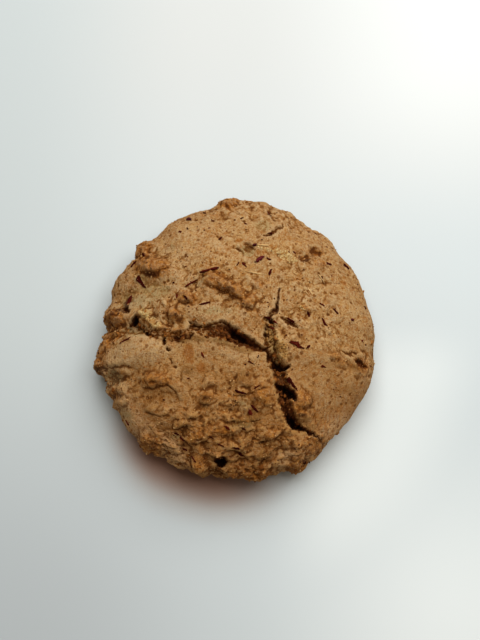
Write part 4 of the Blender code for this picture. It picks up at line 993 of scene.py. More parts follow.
dough = Finish("baked_crust", DARK_TAN)
patches = dough.noise(size=8.0, detail=3.0)
drift = dough.noise(size=4.0, detail=2.0)
mottle = dough.noise(size=2.0, detail=4.0, rough=0.65)
unevenness = (mottle - 0.5) * 1.2
near_half = dough.value_of("near_half")
flank = (dough.value_of("flank") + unevenness * 0.4).between(0.2, 0.9)
light = dough.value_of("light") + (patches - 0.42) * 1.6 + unevenness

dough.paint(TAN, mottle.between(0.34, 0.66))
dough.paint(OCHRE, drift.between(0.42, 0.62) * 0.5)
# Painted shade: a darker, warmer tan on the near half, and brown on the near and left sides
dough.paint(SHADED_NEAR_TAN, near_half * 0.7)
dough.paint(SHADE_AND_FIBRE_BROWN, dough.value_of("near_side") * 0.45)
# Painted bounce light: the flanks are lightened to a taupe, which is partly their own colour
dough.paint(LIT_FLANK_TAUPE, flank * 0.9)
# Lighter patches from noise, and in the listed places partly paler skin and partly painted light
dough.paint(LIGHT_TAN, light.between(0.0, 1.0) * 0.5)
dough.paint(LIGHT_TAN, light.between(0.9, 1.6) * 0.7)
print("dough:", len(dough.tree.nodes), "nodes")

# %% [markdown]
# ## Baked crust: what the heat did
#
# Sugar browns in patches a few millimetres wide, and most of all on the lumps. Between them, the dough is
# warmer where it holds fat, and floury where it is dry. A colour that is multiplied in makes what lies
# under it warmer, and keeps its pattern.

# %% Browned lumps and warmth
ORANGE_BROWN = (0.285, 0.108, 0.019)
TOAST_DARK = (0.165, 0.050, 0.006)
TOAST_LIGHT = (0.370, 0.168, 0.036)
WARM_TINT = (1.0, 0.82, 0.46)
FLOUR = (0.410, 0.305, 0.185)

sugary = dough.noise(size=3.2, detail=5.0, rough=0.7)
browned = (dough.value_of("browned") + unevenness).between(0.2, 0.75)
toast_mottle = dough.noise(size=1.1, detail=3.0, rough=0.7)
toast = dough.mix(toast_mottle.between(0.38, 0.62), TOAST_DARK, TOAST_LIGHT)
warmth = dough.noise(size=1.3, detail=4.0, rough=0.75)

dough.paint(ORANGE_BROWN, sugary.between(0.53, 0.64) * 0.45)
dough.paint(toast, browned * 0.85)
dough.paint(WARM_TINT, warmth.between(0.52, 0.64) * 0.6, "MULTIPLY")
dough.paint(FLOUR, warmth.between(0.48, 0.36) * 0.4)
print("browned:", len(dough.tree.nodes), "nodes")

# %% [markdown]
# ## Baked crust: tears and hollows
#
# Inside a tear, each crumb has a tone of its own, which comes from the label that also gave it its height.
# Hollows stay greyish, because they were shielded from the heat. Along the lips of the deeper slots, the
# crust is painted dark brown.

# %% Torn crumb, pale hollows and dark lips
TORN_AMBER = (0.150, 0.052, 0.007)
TORN_PALE = (0.220, 0.108, 0.026)
HOLLOW = (0.305, 0.230, 0.115)
LIP_BROWN = (0.110, 0.030, 0.006)

grain = dough.noise(size=0.6, detail=3.0, rough=0.7)
torn_tone = dough.mix(dough.value_of("crumb_label").between(0.45, 0.75), TORN_AMBER, TORN_PALE)
pale = (dough.value_of("pale") + unevenness * 0.6 + (patches - 0.5) * 0.8).between(0.2, 0.75)
lip = dough.value_of("lip") + (grain - 0.5) * 0.8

dough.paint(torn_tone, dough.value_of("torn") * 0.85)
dough.paint(HOLLOW, pale * 0.85)
dough.paint(LIP_BROWN, lip.between(0.35, 0.8) * 0.85)
print("tears:", len(dough.tree.nodes), "nodes")

# %% [markdown]
# ## Baked crust: fibres and flecks
#
# Some flanks dried in fibres, which are noise drawn out in every direction but X. All over, each grain of
# half a millimetre is a little lighter or darker than the next. Cells with a random tone each give that,
# and noise frays their edges.

# %% Fibres and flecks
FIBRE_SIZE = 0.6
FIBRE_STRETCH = (1.0, 0.16, 0.16)
NEAR_HIGHLIGHT_AND_FLECK = (0.420, 0.240, 0.085)
SHADE_AND_SPECK_BROWN = (0.150, 0.052, 0.008)

stretch = {"operation": "MULTIPLY"}
stretched = dough.node("ShaderNodeVectorMath", stretch, {0: dough.place(), 1: FIBRE_STRETCH})
fibre_sockets = {"Vector": stretched, "Scale": 1 / (FIBRE_SIZE * MM), "Detail": 3.0}
fibres = dough.node("ShaderNodeTexNoise", {}, fibre_sockets)
fibrous = dough.value_of("fibrous")
speckle = dough.cells(0.42, "Color")
fleck = speckle + (grain - 0.5)
plain = 1 - browned * 0.7
# Light flecks and the painted highlights share this tan; on the near half it is a darker ochre, as painted
# shade
highlight_and_fleck_tan = dough.mix(near_half, LIGHT_TAN, NEAR_HIGHLIGHT_AND_FLECK)

dough.paint(SHADE_AND_FIBRE_BROWN, fibres.between(0.52, 0.64) * fibrous * 0.55)
dough.paint(FLOUR, fibres.between(0.48, 0.36) * fibrous * 0.5)
dough.paint(highlight_and_fleck_tan, fleck.between(0.55, 0.85) * 0.45 * plain)
dough.paint(ORANGE_BROWN, fleck.between(0.42, 0.12) * 0.6)
dough.paint(SHADE_AND_SPECK_BROWN, fleck.between(0.16, 0.0) * 0.55)
print("flecks:", len(dough.tree.nodes), "nodes")

# %% [markdown]
# ## Baked crust: yellow crumb and amber
#
# Where oats crumble, the crumb is yellow. Where sugar melted and soaked in, it set as amber: dark in the
# middle, paler towards the rim, and broken up by the grains that it couldn't wet.

# %% Yellow crumb and amber
YELLOW_CRUMB = (0.440, 0.310, 0.125)
AMBER_RIM = (0.330, 0.150, 0.028)
AMBER_STAIN = (0.235, 0.074, 0.006)

yellow = dough.value_of("yellow") + unevenness * 0.8
amber_place = dough.value_of("amber")
amber = amber_place + unevenness * 0.9 + (grain - 0.5) * 0.7
amber_tone = dough.mix((amber + (warmth - 0.5) * 1.5).between(0.35, 0.85), AMBER_RIM, AMBER_STAIN)
grainy = grain.between(0.36, 0.6) * 0.5 + 0.3

dough.paint(YELLOW_CRUMB, yellow.between(0.2, 0.9) * 0.8)
dough.paint(amber_tone, amber.between(0.2, 0.8) * grainy)
print("amber:", len(dough.tree.nodes), "nodes")

# %% [markdown]
# ## Baked crust: painted highlights and shade on crests and creases
#
# Crests and sharp edges get a painted highlight, and creases and hollows a painted shade: a warm tint, then
# brown and dark brown. Less of this painted shade goes where the skin is pale, on a flank or on the near
# half.

# %% Crests and creases
WARM_SHADE = (0.97, 0.88, 0.68)
DARK_BROWN = (0.055, 0.015, 0.003)

crest = dough.value_of("crest")
crease = 0 - crest
edge = dough.value_of("edge")
hollow_shade = crease.between(-0.2, 0.6) * 0.6 + dough.value_of("hollow") * 0.4
crease_shade_share = (1 - pale * 0.8) * (1 - flank * 0.75) * (1 - near_half * 0.25)

# Painted highlights on crests and edges, and painted shade in hollows and creases
dough.paint(highlight_and_fleck_tan, crest.between(0.2, 1.0) * 0.3 * plain)
dough.paint(WARM_SHADE, hollow_shade * (1 - flank * 0.9), "MULTIPLY")
dough.paint(highlight_and_fleck_tan, edge.between(0.3, 1.0) * 0.35 * plain)
dough.paint(SHADE_AND_SPECK_BROWN, (0 - edge).between(0.2, 0.9) * 0.6)
dough.paint(SHADE_AND_SPECK_BROWN, crease.between(0.05, 0.6) * 0.5 * crease_shade_share)
dough.paint(DARK_BROWN, crease.between(0.45, 1.0) * 0.55 * crease_shade_share)
print("creases:", len(dough.tree.nodes), "nodes")

# %% [markdown]
# ## Baked crust: painted shade, dark marks and chocolate
#
# Some places are painted in shade, beside the cracks and elsewhere on the near half. Dark brown is painted
# on small dark marks, and as painted shade under lumps and along the cross tear. Small brown spots are
# scattered over the crust in groups. Round each chocolate sliver, the dough is stained by what melted out of
# it.

# %% Painted shade, dark marks, spots and chocolate
SHADE_TINT = (0.58, 0.51, 0.38)
COCOA = (0.045, 0.012, 0.007)
MAROON = (0.110, 0.022, 0.012)

shaded = dough.value_of("shaded") + unevenness * 0.5
marks_and_shade = dough.value_of("dark") + unevenness * 0.7
groups = dough.noise(size=5.0, detail=2.0).between(0.42, 0.52)
brown_spots = (dough.cells(3.0, "Distance") + (grain - 0.5) * 0.2).between(0.24, 0.14) * groups
stained = dough.value_of("cocoa") + (dough.noise(size=0.9, detail=3.0, rough=0.7) - 0.5) * 2.0

# Painted shade, then dark brown on dark marks and as painted shade under lumps and along the cross tear
dough.paint(SHADE_TINT, shaded.between(0.05, 0.9), "MULTIPLY")
dough.paint(DARK_BROWN, marks_and_shade.between(0.35, 0.9) * 0.85)
dough.paint(SHADE_AND_SPECK_BROWN, brown_spots * 0.75)
dough.paint(dough.mix(mottle.between(0.4, 0.6), COCOA, MAROON), stained.between(0.5, 0.8) * 0.85)
print("nicks:", len(dough.tree.nodes), "nodes")

# %% [markdown]
# ## Baked crust: depth, underside and grain
#
# Little light gets out of a deep crack, and its walls darken with their depth, less where the crumb is
# yellow or amber. The tray browned the underside evenly. Grain too fine for the mesh is raised by the
# finish alone.

# %% Depth, underside and grain
WALL_BROWN = (0.110, 0.031, 0.006)
BASE_BROWN = (0.170, 0.070, 0.020)

crumby = (yellow + amber_place).between(0.2, 0.7)
deep = dough.value_of("depth") * (1 - crumby * 0.8)
fine_grain = grain + speckle * 0.7 + dough.noise(size=0.3, detail=2.0) * 0.6 - fibres * fibrous * 1.5
fine_relief = dough.bump(strength=1.0, depth=0.36, height=fine_grain)

dough.paint(WALL_BROWN, deep.between(0.14, 0.42) * 0.85)
dough.paint(DARK_BROWN, deep.between(0.48, 0.9) * 0.95)
dough.paint(BASE_BROWN, dough.value_of("underside") * 0.8)
bake_in(crust_piece, dough.finish_with(roughness=0.85, specular=0.12, normal=fine_relief))

# %% [markdown]
# ## Many small things from one shape
#
# The grains, crumbs and baked-in bits are small, numerous and all a little different. Each kind is one mesh:
# copies of a coarse ball grid, roughened, stretched, turned and moved by whole arrays. A ball grid of one
# cell a side is a box of 6 faces, enough for a grain of sugar. Two cells a side make a crumb of 24.

# %% Copies of a shape, laid on the crust
NORMAL_ROUNDS = 5


def point_normals(points, faces):
    """The way out of a mesh at each point, as long as the area round it: the sum, over the faces round the
    point, of the cross product of a face's diagonals."""
    across = np.cross(points[faces[:, 2]] - points[faces[:, 0]], points[faces[:, 3]] - points[faces[:, 1]])
    sums = [np.bincount(faces.ravel(), np.repeat(across[:, axis], 4), len(points)) for axis in range(3)]
    return np.stack(sums, axis=1)


def unit(vectors):
    """Vectors of the same directions, 1 long."""
    return vectors / np.linalg.norm(vectors, axis=-1, keepdims=True)


def random_turns(draw, copies):
    """Random turns, none of them mirroring."""
    turns = np.linalg.qr(draw.normal(size=(copies, 3, 3)))[0]
    return turns * np.sign(np.linalg.det(turns))[:, None, None]


def flat_turns(up, angle):
    """Turns that carry Z to the way out of the crust, and X along the crust in a direction of the plan."""
    along = np.stack([np.cos(angle), np.sin(angle), np.zeros_like(angle)], axis=1)
    along = unit(along - up * np.sum(along * up, axis=1, keepdims=True))
    return np.stack([along, np.cross(up, along), up], axis=2)


def joined_copies(name, shapes, shape_faces, middles, turns, sizes, tones):
    """One piece: each copy of the shape is stretched by its half sizes, turned, and moved to its middle. Its
    tone, from 0 to 1, is kept for the finish."""
    corners = shapes.shape[-2]
    points = np.einsum("nij,npj->npi", turns, shapes * sizes[:, None, :]) + middles[:, None, :]
    every_face = shape_faces + corners * np.arange(len(middles))[:, None, None]
    tone = {"tone": np.repeat(tones, corners)}
    return make_piece(name, points.reshape(-1, 3), every_face.reshape(-1, 4), tone)


def rough_balls(draw, copies, cells, unevenness):
    """Copies of a coarse ball whose points are pushed in and out at random."""
    ball, ball_faces = ball_grid(cells)
    push = 1 + unevenness * draw.uniform(-1, 1, (copies, len(ball), 1))
    return ball * push, ball_faces


def scattered(draw, weights, count, limits, power, stretch):
    """Draws points of the crust, each as likely as its weight, and a half size for each between two limits.
    A power above 1 makes most of them small. Returns both, and the half size stretched along each axis by a
    random share."""
    spots = draw.choice(len(crust), count, replace=False, p=weights / weights.sum())
    half = limits[0] + (limits[1] - limits[0]) * draw.uniform(0, 1, count) ** power
    return spots, half, half[:, None] * draw.uniform(*stretch, (count, 3))


areas = point_normals(crust, faces)
crust_area = np.linalg.norm(areas, axis=1)
crust_way = unit(np.stack([ring_mean(areas[:, axis], faces, NORMAL_ROUNDS) for axis in range(3)], axis=1))
print("crust area:", round(float(crust_area.sum() / 2)), "square millimetres")

# %% [markdown]
# ## Grains of flour, bran and sugar
#
# The crust sparkles with grains about half a millimetre wide. Noise in the finish only tints them, so they
# are real boxes here, half sunk in the crust, and each catches the light its own way. They run from pale
# sugar over toasted flour to a few dark flakes of bran.

# %% Bran grains
GRAIN_COUNT = 4500
GRAIN_HALF_SIZES = (0.12, 0.27)
GRAIN_STRETCH = (0.6, 1.2)
# A ball grid of one cell a side is a box with half sides of 1 / sqrt(3). They are brought to this.
GRAIN_FILL = 0.8
GRAIN_TONES = [
    (0.0, (0.46, 0.285, 0.120)), (0.3, (0.36, 0.200, 0.074)), (0.65, (0.24, 0.105, 0.026)),
    (0.9, (0.12, 0.042, 0.008)), (1.0, (0.05, 0.014, 0.004)),
]

draw = np.random.default_rng(81)
weights = crust_area * off_floor * crag * (1 - 0.9 * values["depth"])
spots, half, sizes = scattered(draw, weights, GRAIN_COUNT, GRAIN_HALF_SIZES, 2, GRAIN_STRETCH)
shapes, shape_faces = rough_balls(draw, GRAIN_COUNT, cells=1, unevenness=0.3)
turns = random_turns(draw, GRAIN_COUNT)
tones = draw.uniform(0, 1, GRAIN_COUNT)
shapes = shapes * math.sqrt(3) * GRAIN_FILL
grains_piece = joined_copies("bran_grains", shapes, shape_faces, crust[spots], turns, sizes, tones)

grain_skin = Finish("toasted_grains")
tone = grain_skin.value_of("tone") + (grain_skin.noise(size=0.3, detail=2.0) - 0.5) * 0.2
grain_skin.colour = grain_skin.ramp(tone, GRAIN_TONES)
bake_in(grains_piece, grain_skin.finish_with(roughness=0.6, specular=0.2))

# %% [markdown]
# ## Crumbs in the tears and along the rim
#
# Where dough tears, it breaks between its grains, and loose crumbs stay stuck to both lips. They also
# roughen the rim. Crumbs are chosen most often where the crust is torn, then where it is craggy. The deeper
# one lies, the darker it is painted, which is painted shade.

# %% Torn crumbs
CRUMB_COUNT = 1100
CRUMB_HALF_SIZES = (0.2, 0.75)
CRUMB_STRETCH = (0.4, 1.5)
CRUMB_SINK = 0.7
CRUMB_TONES = [
    (0.0, (0.10, 0.030, 0.005)), (0.3, (0.20, 0.074, 0.012)), (0.55, (0.28, 0.125, 0.034)),
    (0.85, (0.28, 0.175, 0.066)), (1.0, (0.40, 0.255, 0.105)),
]

draw = np.random.default_rng(82)
on_tear = torn * (1 - 0.8 * values["depth"]) * np.clip(sunk / 1.5, 0.15, 1)
weights = crust_area * top * (on_tear + 0.03 * crag + 0.14 * rim_rough)
spots, half, sizes = scattered(draw, weights, CRUMB_COUNT, CRUMB_HALF_SIZES, 2.5, CRUMB_STRETCH)
shapes, shape_faces = rough_balls(draw, CRUMB_COUNT, cells=2, unevenness=0.5)
tones = 0.45 * draw.uniform(0, 1, CRUMB_COUNT) + 0.35 * crumb_label[spots] + 0.4 * values["pale"][spots]
# Painted shade: crumbs lying deeper in a crack get a darker tone
tones *= 0.75 - 0.55 * np.clip(sunk[spots] / 2.5, 0, 1)
turns = random_turns(draw, CRUMB_COUNT)
middles = crust[spots] - crust_way[spots] * half[:, None] * CRUMB_SINK
crumbs_piece = joined_copies("torn_crumbs", shapes, shape_faces, middles, turns, sizes, tones)

crumb_skin = Finish("torn_crumb")
crumb_mottle = crumb_skin.noise(size=0.8, detail=3.0)
tone = crumb_skin.value_of("tone") + (crumb_mottle - 0.5) * 0.5
crumb_skin.colour = crumb_skin.ramp(tone, CRUMB_TONES)
crumb_relief = crumb_skin.bump(strength=0.8, depth=0.2, height=crumb_mottle)
bake_in(crumbs_piece, crumb_skin.finish_with(roughness=0.8, specular=0.15, normal=crumb_relief))

# %% [markdown]
# ## Chips
#
# What was mixed into the dough had been chopped, and each bit broke its own way. So a chip is a ball grid
# squared off, cut to a wedge, thinned towards its ends, bent along its length and broken by noise. It lies
# flat on the crust at its place in the plan, beside a crack rather than in it.

# %% Chips of chocolate, berry and straw
UPPER_SHARE = 0.8
SUNK_COST = 0.5
CHIP_CELLS = 6
CHIP_GRAIN = 0.45
CHIP_SEED = 91
CHIP_WEDGE = 0.8
CHIP_NARROWING = 0.15
# Far enough apart that no two copies share their noise
CHIP_SPACING = 40


def laid_on_crust(entries, thickness, rise_share):
    """For each entry: its middle at the crust's nearest upper point, raised by a share of the thickness, its
    turn, flat on the crust, and its half sizes."""
    across, up, length, width, turn = np.array(entries, float).T
    distance = np.hypot(crust[:, :1] - across, crust[:, 1:2] - up) + SUNK_COST * sunk[:, None]
    nearest = (distance + FAR * (form[:, 2:] < UPPER_SHARE * RIM_HEIGHT)).argmin(axis=0)
    way = crust_way[nearest]
    sizes = np.stack([length, width, np.full_like(length, thickness)], axis=1) / 2
    return crust[nearest] + way * thickness * rise_share, flat_turns(way, np.radians(turn)), sizes


def chip_shapes(draw, copies, squareness, unevenness, arch):
    """Balls squared off by raising each coordinate to a power below 1, cut to a wedge by a random slope
    along their length, arched sideways by a random share of 1 - x^2, and broken by lattice noise."""
    ball, shape_faces = ball_grid(CHIP_CELLS)
    squared = np.sign(ball) * np.abs(ball) ** squareness
    shapes = np.repeat(squared[None], copies, axis=0)
    noise_at = (shapes + CHIP_SPACING * np.arange(copies)[:, None, None]).reshape(-1, 3)
    for axis in range(3):
        broken = lattice_noise(noise_at, CHIP_GRAIN, CHIP_SEED + axis).reshape(copies, -1)
        shapes[..., axis] *= 1 + unevenness * (1 + (axis > 0)) * broken
    along = shapes[..., 0]
    wedge = draw.uniform(-CHIP_WEDGE, CHIP_WEDGE, (copies, 1))
    shapes[..., 1] *= 1 + wedge * along - CHIP_NARROWING * along**2
    shapes[..., 1] += arch * draw.uniform(-1, 1, (copies, 1)) * (1 - along**2)
    return shapes, shape_faces


def on_ovals(x, y, entries, margin, side):
    """1 on the oval of any entry, with a margin round it, and 0 away from them all."""
    most = np.zeros_like(x)
    for middle_x, middle_y, length, width, turn in entries:
        oval = (middle_x, middle_y, length / 2 + margin, width / 2 + margin, turn)
        most = np.maximum(most, inside(oval_distance(x, y, oval), side))
    return most


print("a chip:", len(ball_grid(CHIP_CELLS)[1]), "faces")


# %% [markdown]
# ## Chocolate slivers
#
# The chocolate lies in the dough as slivers and shavings, most of them seen edge on. They are placed one by
# one, each thinner than its oval, because the crust round it is stained as dark. Their bloom is the brown
# haze that chocolate gets once it has melted and set.

# %% Chocolate slivers
# Middle x, y, length, width, turn in degrees
SLIVERS = [
    (-33.1, 10, 4.6, 2.2, 79), (-29.3, 15.2, 5.4, 1.6, -50), (-32.5, 22.2, 2.9, 0.9, 71),
    (-29, 25.3, 1.6, 0.9, -71), (-33.8, -3.6, 5.2, 0.8, 0), (-17.8, 9.5, 1.6, 0.6, -82),
    (-15, 8.6, 2.1, 0.7, -47), (-9.2, 6.6, 3.7, 0.7, 12), (-13.5, 13.4, 4.2, 0.6, 31),
    (-7.8, 17.5, 6.7, 0.9, 25), (0.9, 19.7, 1.7, 0.5, 57), (-4.5, 28.7, 1.6, 0.9, 44),
    (-17.4, 31.7, 1.4, 0.8, -27), (-14.9, 32.9, 1.2, 0.6, -67), (-9.9, 39.3, 1.7, 0.7, -51),
    (-7.2, 35.7, 1.6, 0.6, -31), (2.1, 36.1, 1.4, 0.5, 33), (3.4, 34.2, 1.4, 0.5, -45),
    (11, 38.7, 2.4, 0.7, -65), (11, 30.1, 1.8, 0.6, 17), (10.6, 21.3, 1.7, 0.7, -27),
    (3.1, 19.3, 2.1, 0.9, -47), (10.9, 16.9, 2.3, 0.9, 71), (18.6, 24.1, 1, 0.6, -47),
    (29.5, 21.5, 2.4, 1, -2), (35.5, 22, 2.5, 1.1, -24), (27.3, 16, 1.8, 0.7, -80),
    (31.3, 5.5, 2.7, 0.8, -46), (27.5, 1.7, 3.2, 1, -62), (22.7, 3.7, 2.6, 0.8, -62),
    (26.9, 7.1, 1.8, 0.6, -35), (41.3, 8.4, 1, 0.6, -46), (18.3, -5.6, 3.8, 1.8, -18),
    (20.3, -6.9, 1.9, 0.8, -15), (22.4, -6.5, 1.8, 0.8, 41), (27.4, -12, 1.7, 0.7, -23),
    (5.2, -11.6, 2.4, 0.5, -30), (10.2, 2, 2.6, 0.8, -15), (12.4, 1.2, 2, 0.6, -35),
    (9.4, -1.2, 1.8, 0.6, -50), (11.2, -0.6, 2, 0.5, -12), (17.2, 1.2, 4, 0.8, -32),
    (10.4, -3.4, 1.6, 0.5, 60), (4.7, -26.3, 4.6, 1.2, -63), (6, -25, 3.2, 0.9, -48),
    (1.8, -20.5, 3.7, 0.9, -15), (6.7, -18.9, 2.5, 0.5, 34), (-9.6, -9.3, 2.2, 0.7, -61),
    (-18.2, -32.1, 2.9, 0.7, -15), (-15.9, -34, 2.2, 0.9, -51), (-6.9, -33.6, 3.6, 0.45, -40),
    (-4.3, -35.8, 2.9, 0.45, -29), (-2.3, -31, 2.1, 0.9, -34), (2.8, -31.1, 1.9, 0.5, -40),
    (-15.4, -36.6, 1.8, 0.7, -36), (-12.8, -39.9, 2.8, 0.5, -44), (0.3, -36.8, 2.9, 0.7, -6),
    (2.1, -38.3, 1.8, 0.9, -43), (-33.5, -28.2, 2.4, 0.9, -38), (21.7, -40.3, 2, 0.9, -29),
    (17.4, -17.9, 5.4, 1.6, -57),
]
STAIN_MARGIN = 0.2
STAIN_SIDE = (1.4, 1.6)
STAIN_BEND = 0.4
SLIVER_SHARE = (0.88, 0.66)
SLIVER_THICKNESS = 0.7
SLIVER_RISE = -0.15
DARK_CHOCOLATE = (0.030, 0.003, 0.002)
MILD_CHOCOLATE = (0.100, 0.013, 0.006)
BLOOM = (0.16, 0.055, 0.022)

stain_x, stain_y = crust[:, 0] + STAIN_BEND * bend[:, 1], crust[:, 1] + STAIN_BEND * bend[:, 2]
stain = on_ovals(stain_x, stain_y, SLIVERS, STAIN_MARGIN, STAIN_SIDE)
add_values(crust_piece.data, "cocoa", stain * top)

draw = np.random.default_rng(83)
shapes, shape_faces = chip_shapes(draw, len(SLIVERS), squareness=0.5, unevenness=0.5, arch=0.5)
tones = draw.uniform(0, 1, len(SLIVERS)) ** 1.5
middles, turns, sizes = laid_on_crust(SLIVERS, SLIVER_THICKNESS, SLIVER_RISE)
sizes[:, :2] *= SLIVER_SHARE
slivers_piece = joined_copies("chocolate_slivers", shapes, shape_faces, middles, turns, sizes, tones)

chocolate = Finish("dark_chocolate", DARK_CHOCOLATE)
bloom = chocolate.noise(size=0.7, detail=3.0)
chocolate.paint(MILD_CHOCOLATE, chocolate.value_of("tone"))
chocolate.paint(BLOOM, bloom.between(0.52, 0.8) * 0.3)
bloom_relief = chocolate.bump(strength=0.6, depth=0.15, height=bloom)
chocolate_skin = chocolate.finish_with(roughness=0.8, specular=0.04, normal=bloom_relief)
bake_in(slivers_piece, chocolate_skin)

# %% [markdown]
# ## Chocolate specks
#
# Chopping also leaves specks less than a millimetre wide, which end up anywhere in the dough. So they are
# scattered at random over the whole crust, flat on it, and left out of the deep cracks.

# %% Chocolate specks
SPECK_COUNT = 160
SPECK_HALF_SIZES = (0.14, 0.38)
SPECK_STRETCH = ((0.7, 0.6, 0.5), (1.5, 1.1, 0.8))

draw = np.random.default_rng(84)
weights = crust_area * off_floor * (1 - values["depth"])
spots, half, sizes = scattered(draw, weights, SPECK_COUNT, SPECK_HALF_SIZES, 2.5, SPECK_STRETCH)
shapes, shape_faces = rough_balls(draw, SPECK_COUNT, cells=2, unevenness=0.2)
turns = flat_turns(crust_way[spots], draw.uniform(0, math.pi, SPECK_COUNT))
tones = draw.uniform(0, 1, SPECK_COUNT)
specks_piece = joined_copies("chocolate_specks", shapes, shape_faces, crust[spots], turns, sizes, tones)
bake_in(specks_piece, chocolate_skin)

# %% [markdown]
# ## Berry skin and straw
#
# A few bits of dark red berry skin show on the far half. Hulls of oat lie in the crust as straw-thin lines.
# Both are chips like the slivers but rounder, and the straws are smoother and bent more.

# %% Berry bits and straw
BERRY_BITS = [
    (-14.8, 36.8, 2.4, 1.3, -55), (7.8, 21.1, 3, 1.1, 43), (6.3, 26.2, 1.4, 0.8, 12),
    (36.6, 3, 1.2, 0.7, -3),
]
STRAWS = [
    (1.4, 29.8, 4.8, 0.45, -15), (8.3, 26, 4.4, 0.35, -3), (5.8, 16.7, 5.2, 0.3, -10),
    (27, 15.6, 3.6, 0.35, -49), (23.1, 11.3, 3.2, 0.35, -59), (22.2, 10.6, 2.4, 0.3, -57),
    (18.6, 16.8, 1.8, 0.3, -37), (-31.2, 17.2, 2.6, 0.35, -48),
]
BERRY_THICKNESS = 0.9
BERRY_RISE = 0.1
STRAW_THICKNESS = 0.4
STRAW_RISE = 0.3


def tinted_finish(name, dark, light, grain_size):
    """One of two tints by the copy's tone and by a fine grain, with that grain in relief."""
    finish = Finish(name, dark)
    fine = finish.noise(grain_size, detail=3.0)
    finish.paint(light, (finish.value_of("tone") * 0.6 + fine * 0.8).between(0.3, 1.0))
    fine_relief = finish.bump(strength=0.8, depth=0.2, height=fine)
    return finish.finish_with(roughness=0.6, specular=0.15, normal=fine_relief)


draw = np.random.default_rng(85)
shapes, shape_faces = chip_shapes(draw, len(BERRY_BITS), squareness=0.85, unevenness=0.35, arch=0.3)
laid = laid_on_crust(BERRY_BITS, BERRY_THICKNESS, BERRY_RISE)
tones = draw.uniform(0, 1, len(BERRY_BITS))
berries_piece = joined_copies("berry_bits", shapes, shape_faces, *laid, tones)
shapes, shape_faces = chip_shapes(draw, len(STRAWS), squareness=0.8, unevenness=0.1, arch=0.8)
laid = laid_on_crust(STRAWS, STRAW_THICKNESS, STRAW_RISE)
tones = draw.uniform(0, 1, len(STRAWS))
straws_piece = joined_copies("oat_straws", shapes, shape_faces, *laid, tones)
bake_in(berries_piece, tinted_finish("berry_skin", (0.035, 0.003, 0.003), (0.105, 0.007, 0.008), 0.5))
bake_in(straws_piece, tinted_finish("oat_straw", (0.36, 0.215, 0.088), (0.50, 0.335, 0.155), 0.4))

# %% [markdown]
# ## Oat nuggets
#
# Where oats and nuts broke up, golden crumb lies in clusters. Each cluster is a listed oval, and the crumb
# in it is coarse balls scattered at random, most thickly in the middle.

# %% Oat nuggets
# Middle x, y, length, width, turn in degrees
NUGGETS = [
    (15.6, 22.9, 5.4, 3.8, -30), (18, 21.4, 3.4, 2.4, 20), (12.6, 24.2, 3, 2, 0), (9, 25.2, 5, 1.2, -15),
    (-27.8, 4.8, 4.6, 3, -39), (-25.4, 2.4, 3, 2.2, 10), (-23.6, 0.4, 2.6, 1.8, 0),
    (20.5, 5.5, 3, 1.4, -31), (14.2, -7.6, 7, 3.4, -72), (10.6, -3, 4, 2.2, -70),
]
NUGGET_COUNT = 460
NUGGET_HALF_SIZES = (0.16, 0.5)
NUGGET_STRETCH = (0.6, 1.3)
NUGGET_SIDE = (1.0, 0.5)
NUGGET_SINK = 0.6
# The share of their lightness that the clusters on the near half lose
NEAR_DARKENING = 0.9

weights = crust_area * top * on_ovals(stain_x, stain_y, NUGGETS, 0, NUGGET_SIDE)
spots, half, sizes = scattered(draw, weights, NUGGET_COUNT, NUGGET_HALF_SIZES, 2, NUGGET_STRETCH)
shapes, shape_faces = rough_balls(draw, NUGGET_COUNT, cells=2, unevenness=0.4)
turns = random_turns(draw, NUGGET_COUNT)
tones = draw.uniform(0, 1, NUGGET_COUNT) * (1 - NEAR_DARKENING * (y[spots] < 0))
middles = crust[spots] - crust_way[spots] * half[:, None] * NUGGET_SINK
nuggets_piece = joined_copies("oat_nuggets", shapes, shape_faces, middles, turns, sizes, tones)
bake_in(nuggets_piece, tinted_finish("oat_nugget", (0.28, 0.140, 0.034), (0.44, 0.335, 0.165), 0.6))

# %% [markdown]
# ## The paper
#
# The cookie lies on pale paper. It is painted lighter on the right and darker on the left, most of all at
# the near left, as painted light and shade, and a warm brown painted shadow lies at the cookie's near side.
# Each tone is painted by the place on the sheet.

# %% The floor
FLOOR_REACH = 1500
FLOOR_DEPTH = 0.05
PAPER_MIDDLE = (0.46, 0.505, 0.515)
PAPER_WHITE = (0.472, 0.492, 0.488)
PAPER_BRIGHT = (0.552, 0.575, 0.572)
PAPER_LEFT = (0.41, 0.452, 0.458)
PAPER_NEAR = (0.59, 0.63, 0.63)
PAPER_SHADE = (0.366, 0.40, 0.413)
PAPER_LIT = (0.80, 0.83, 0.80)
PAPER_SHADOW = (0.260, 0.155, 0.100)
PAPER_CONTACT_SHADOW = (0.210, 0.085, 0.040)

u, v = np.meshgrid(*[np.linspace(-FLOOR_REACH, FLOOR_REACH, 3)] * 2)
sheet_points = np.stack([u, v, np.full_like(u, -FLOOR_DEPTH)], axis=-1).reshape(-1, 3)
sheet = make_piece("paper_floor", sheet_points, grid_faces(np.arange(9).reshape(3, 3)), {})

# The limits below are in metres from the middle of the cookie
paper = Finish("pale_paper", PAPER_MIDDLE)
here = paper.place()
across = paper.node("ShaderNodeSeparateXYZ", {}, {0: here}, 0)
up = paper.node("ShaderNodeSeparateXYZ", {}, {0: here}, 1)
away = paper.node("ShaderNodeVectorMath", {"operation": "LENGTH"}, {0: here}, 1)
shadow_side = up.between(-0.010, -0.035) * across.between(0.022, -0.008) * across.between(-0.045, -0.025)
lit_side = up.between(0.010, -0.012) * across.between(0.008, 0.035)

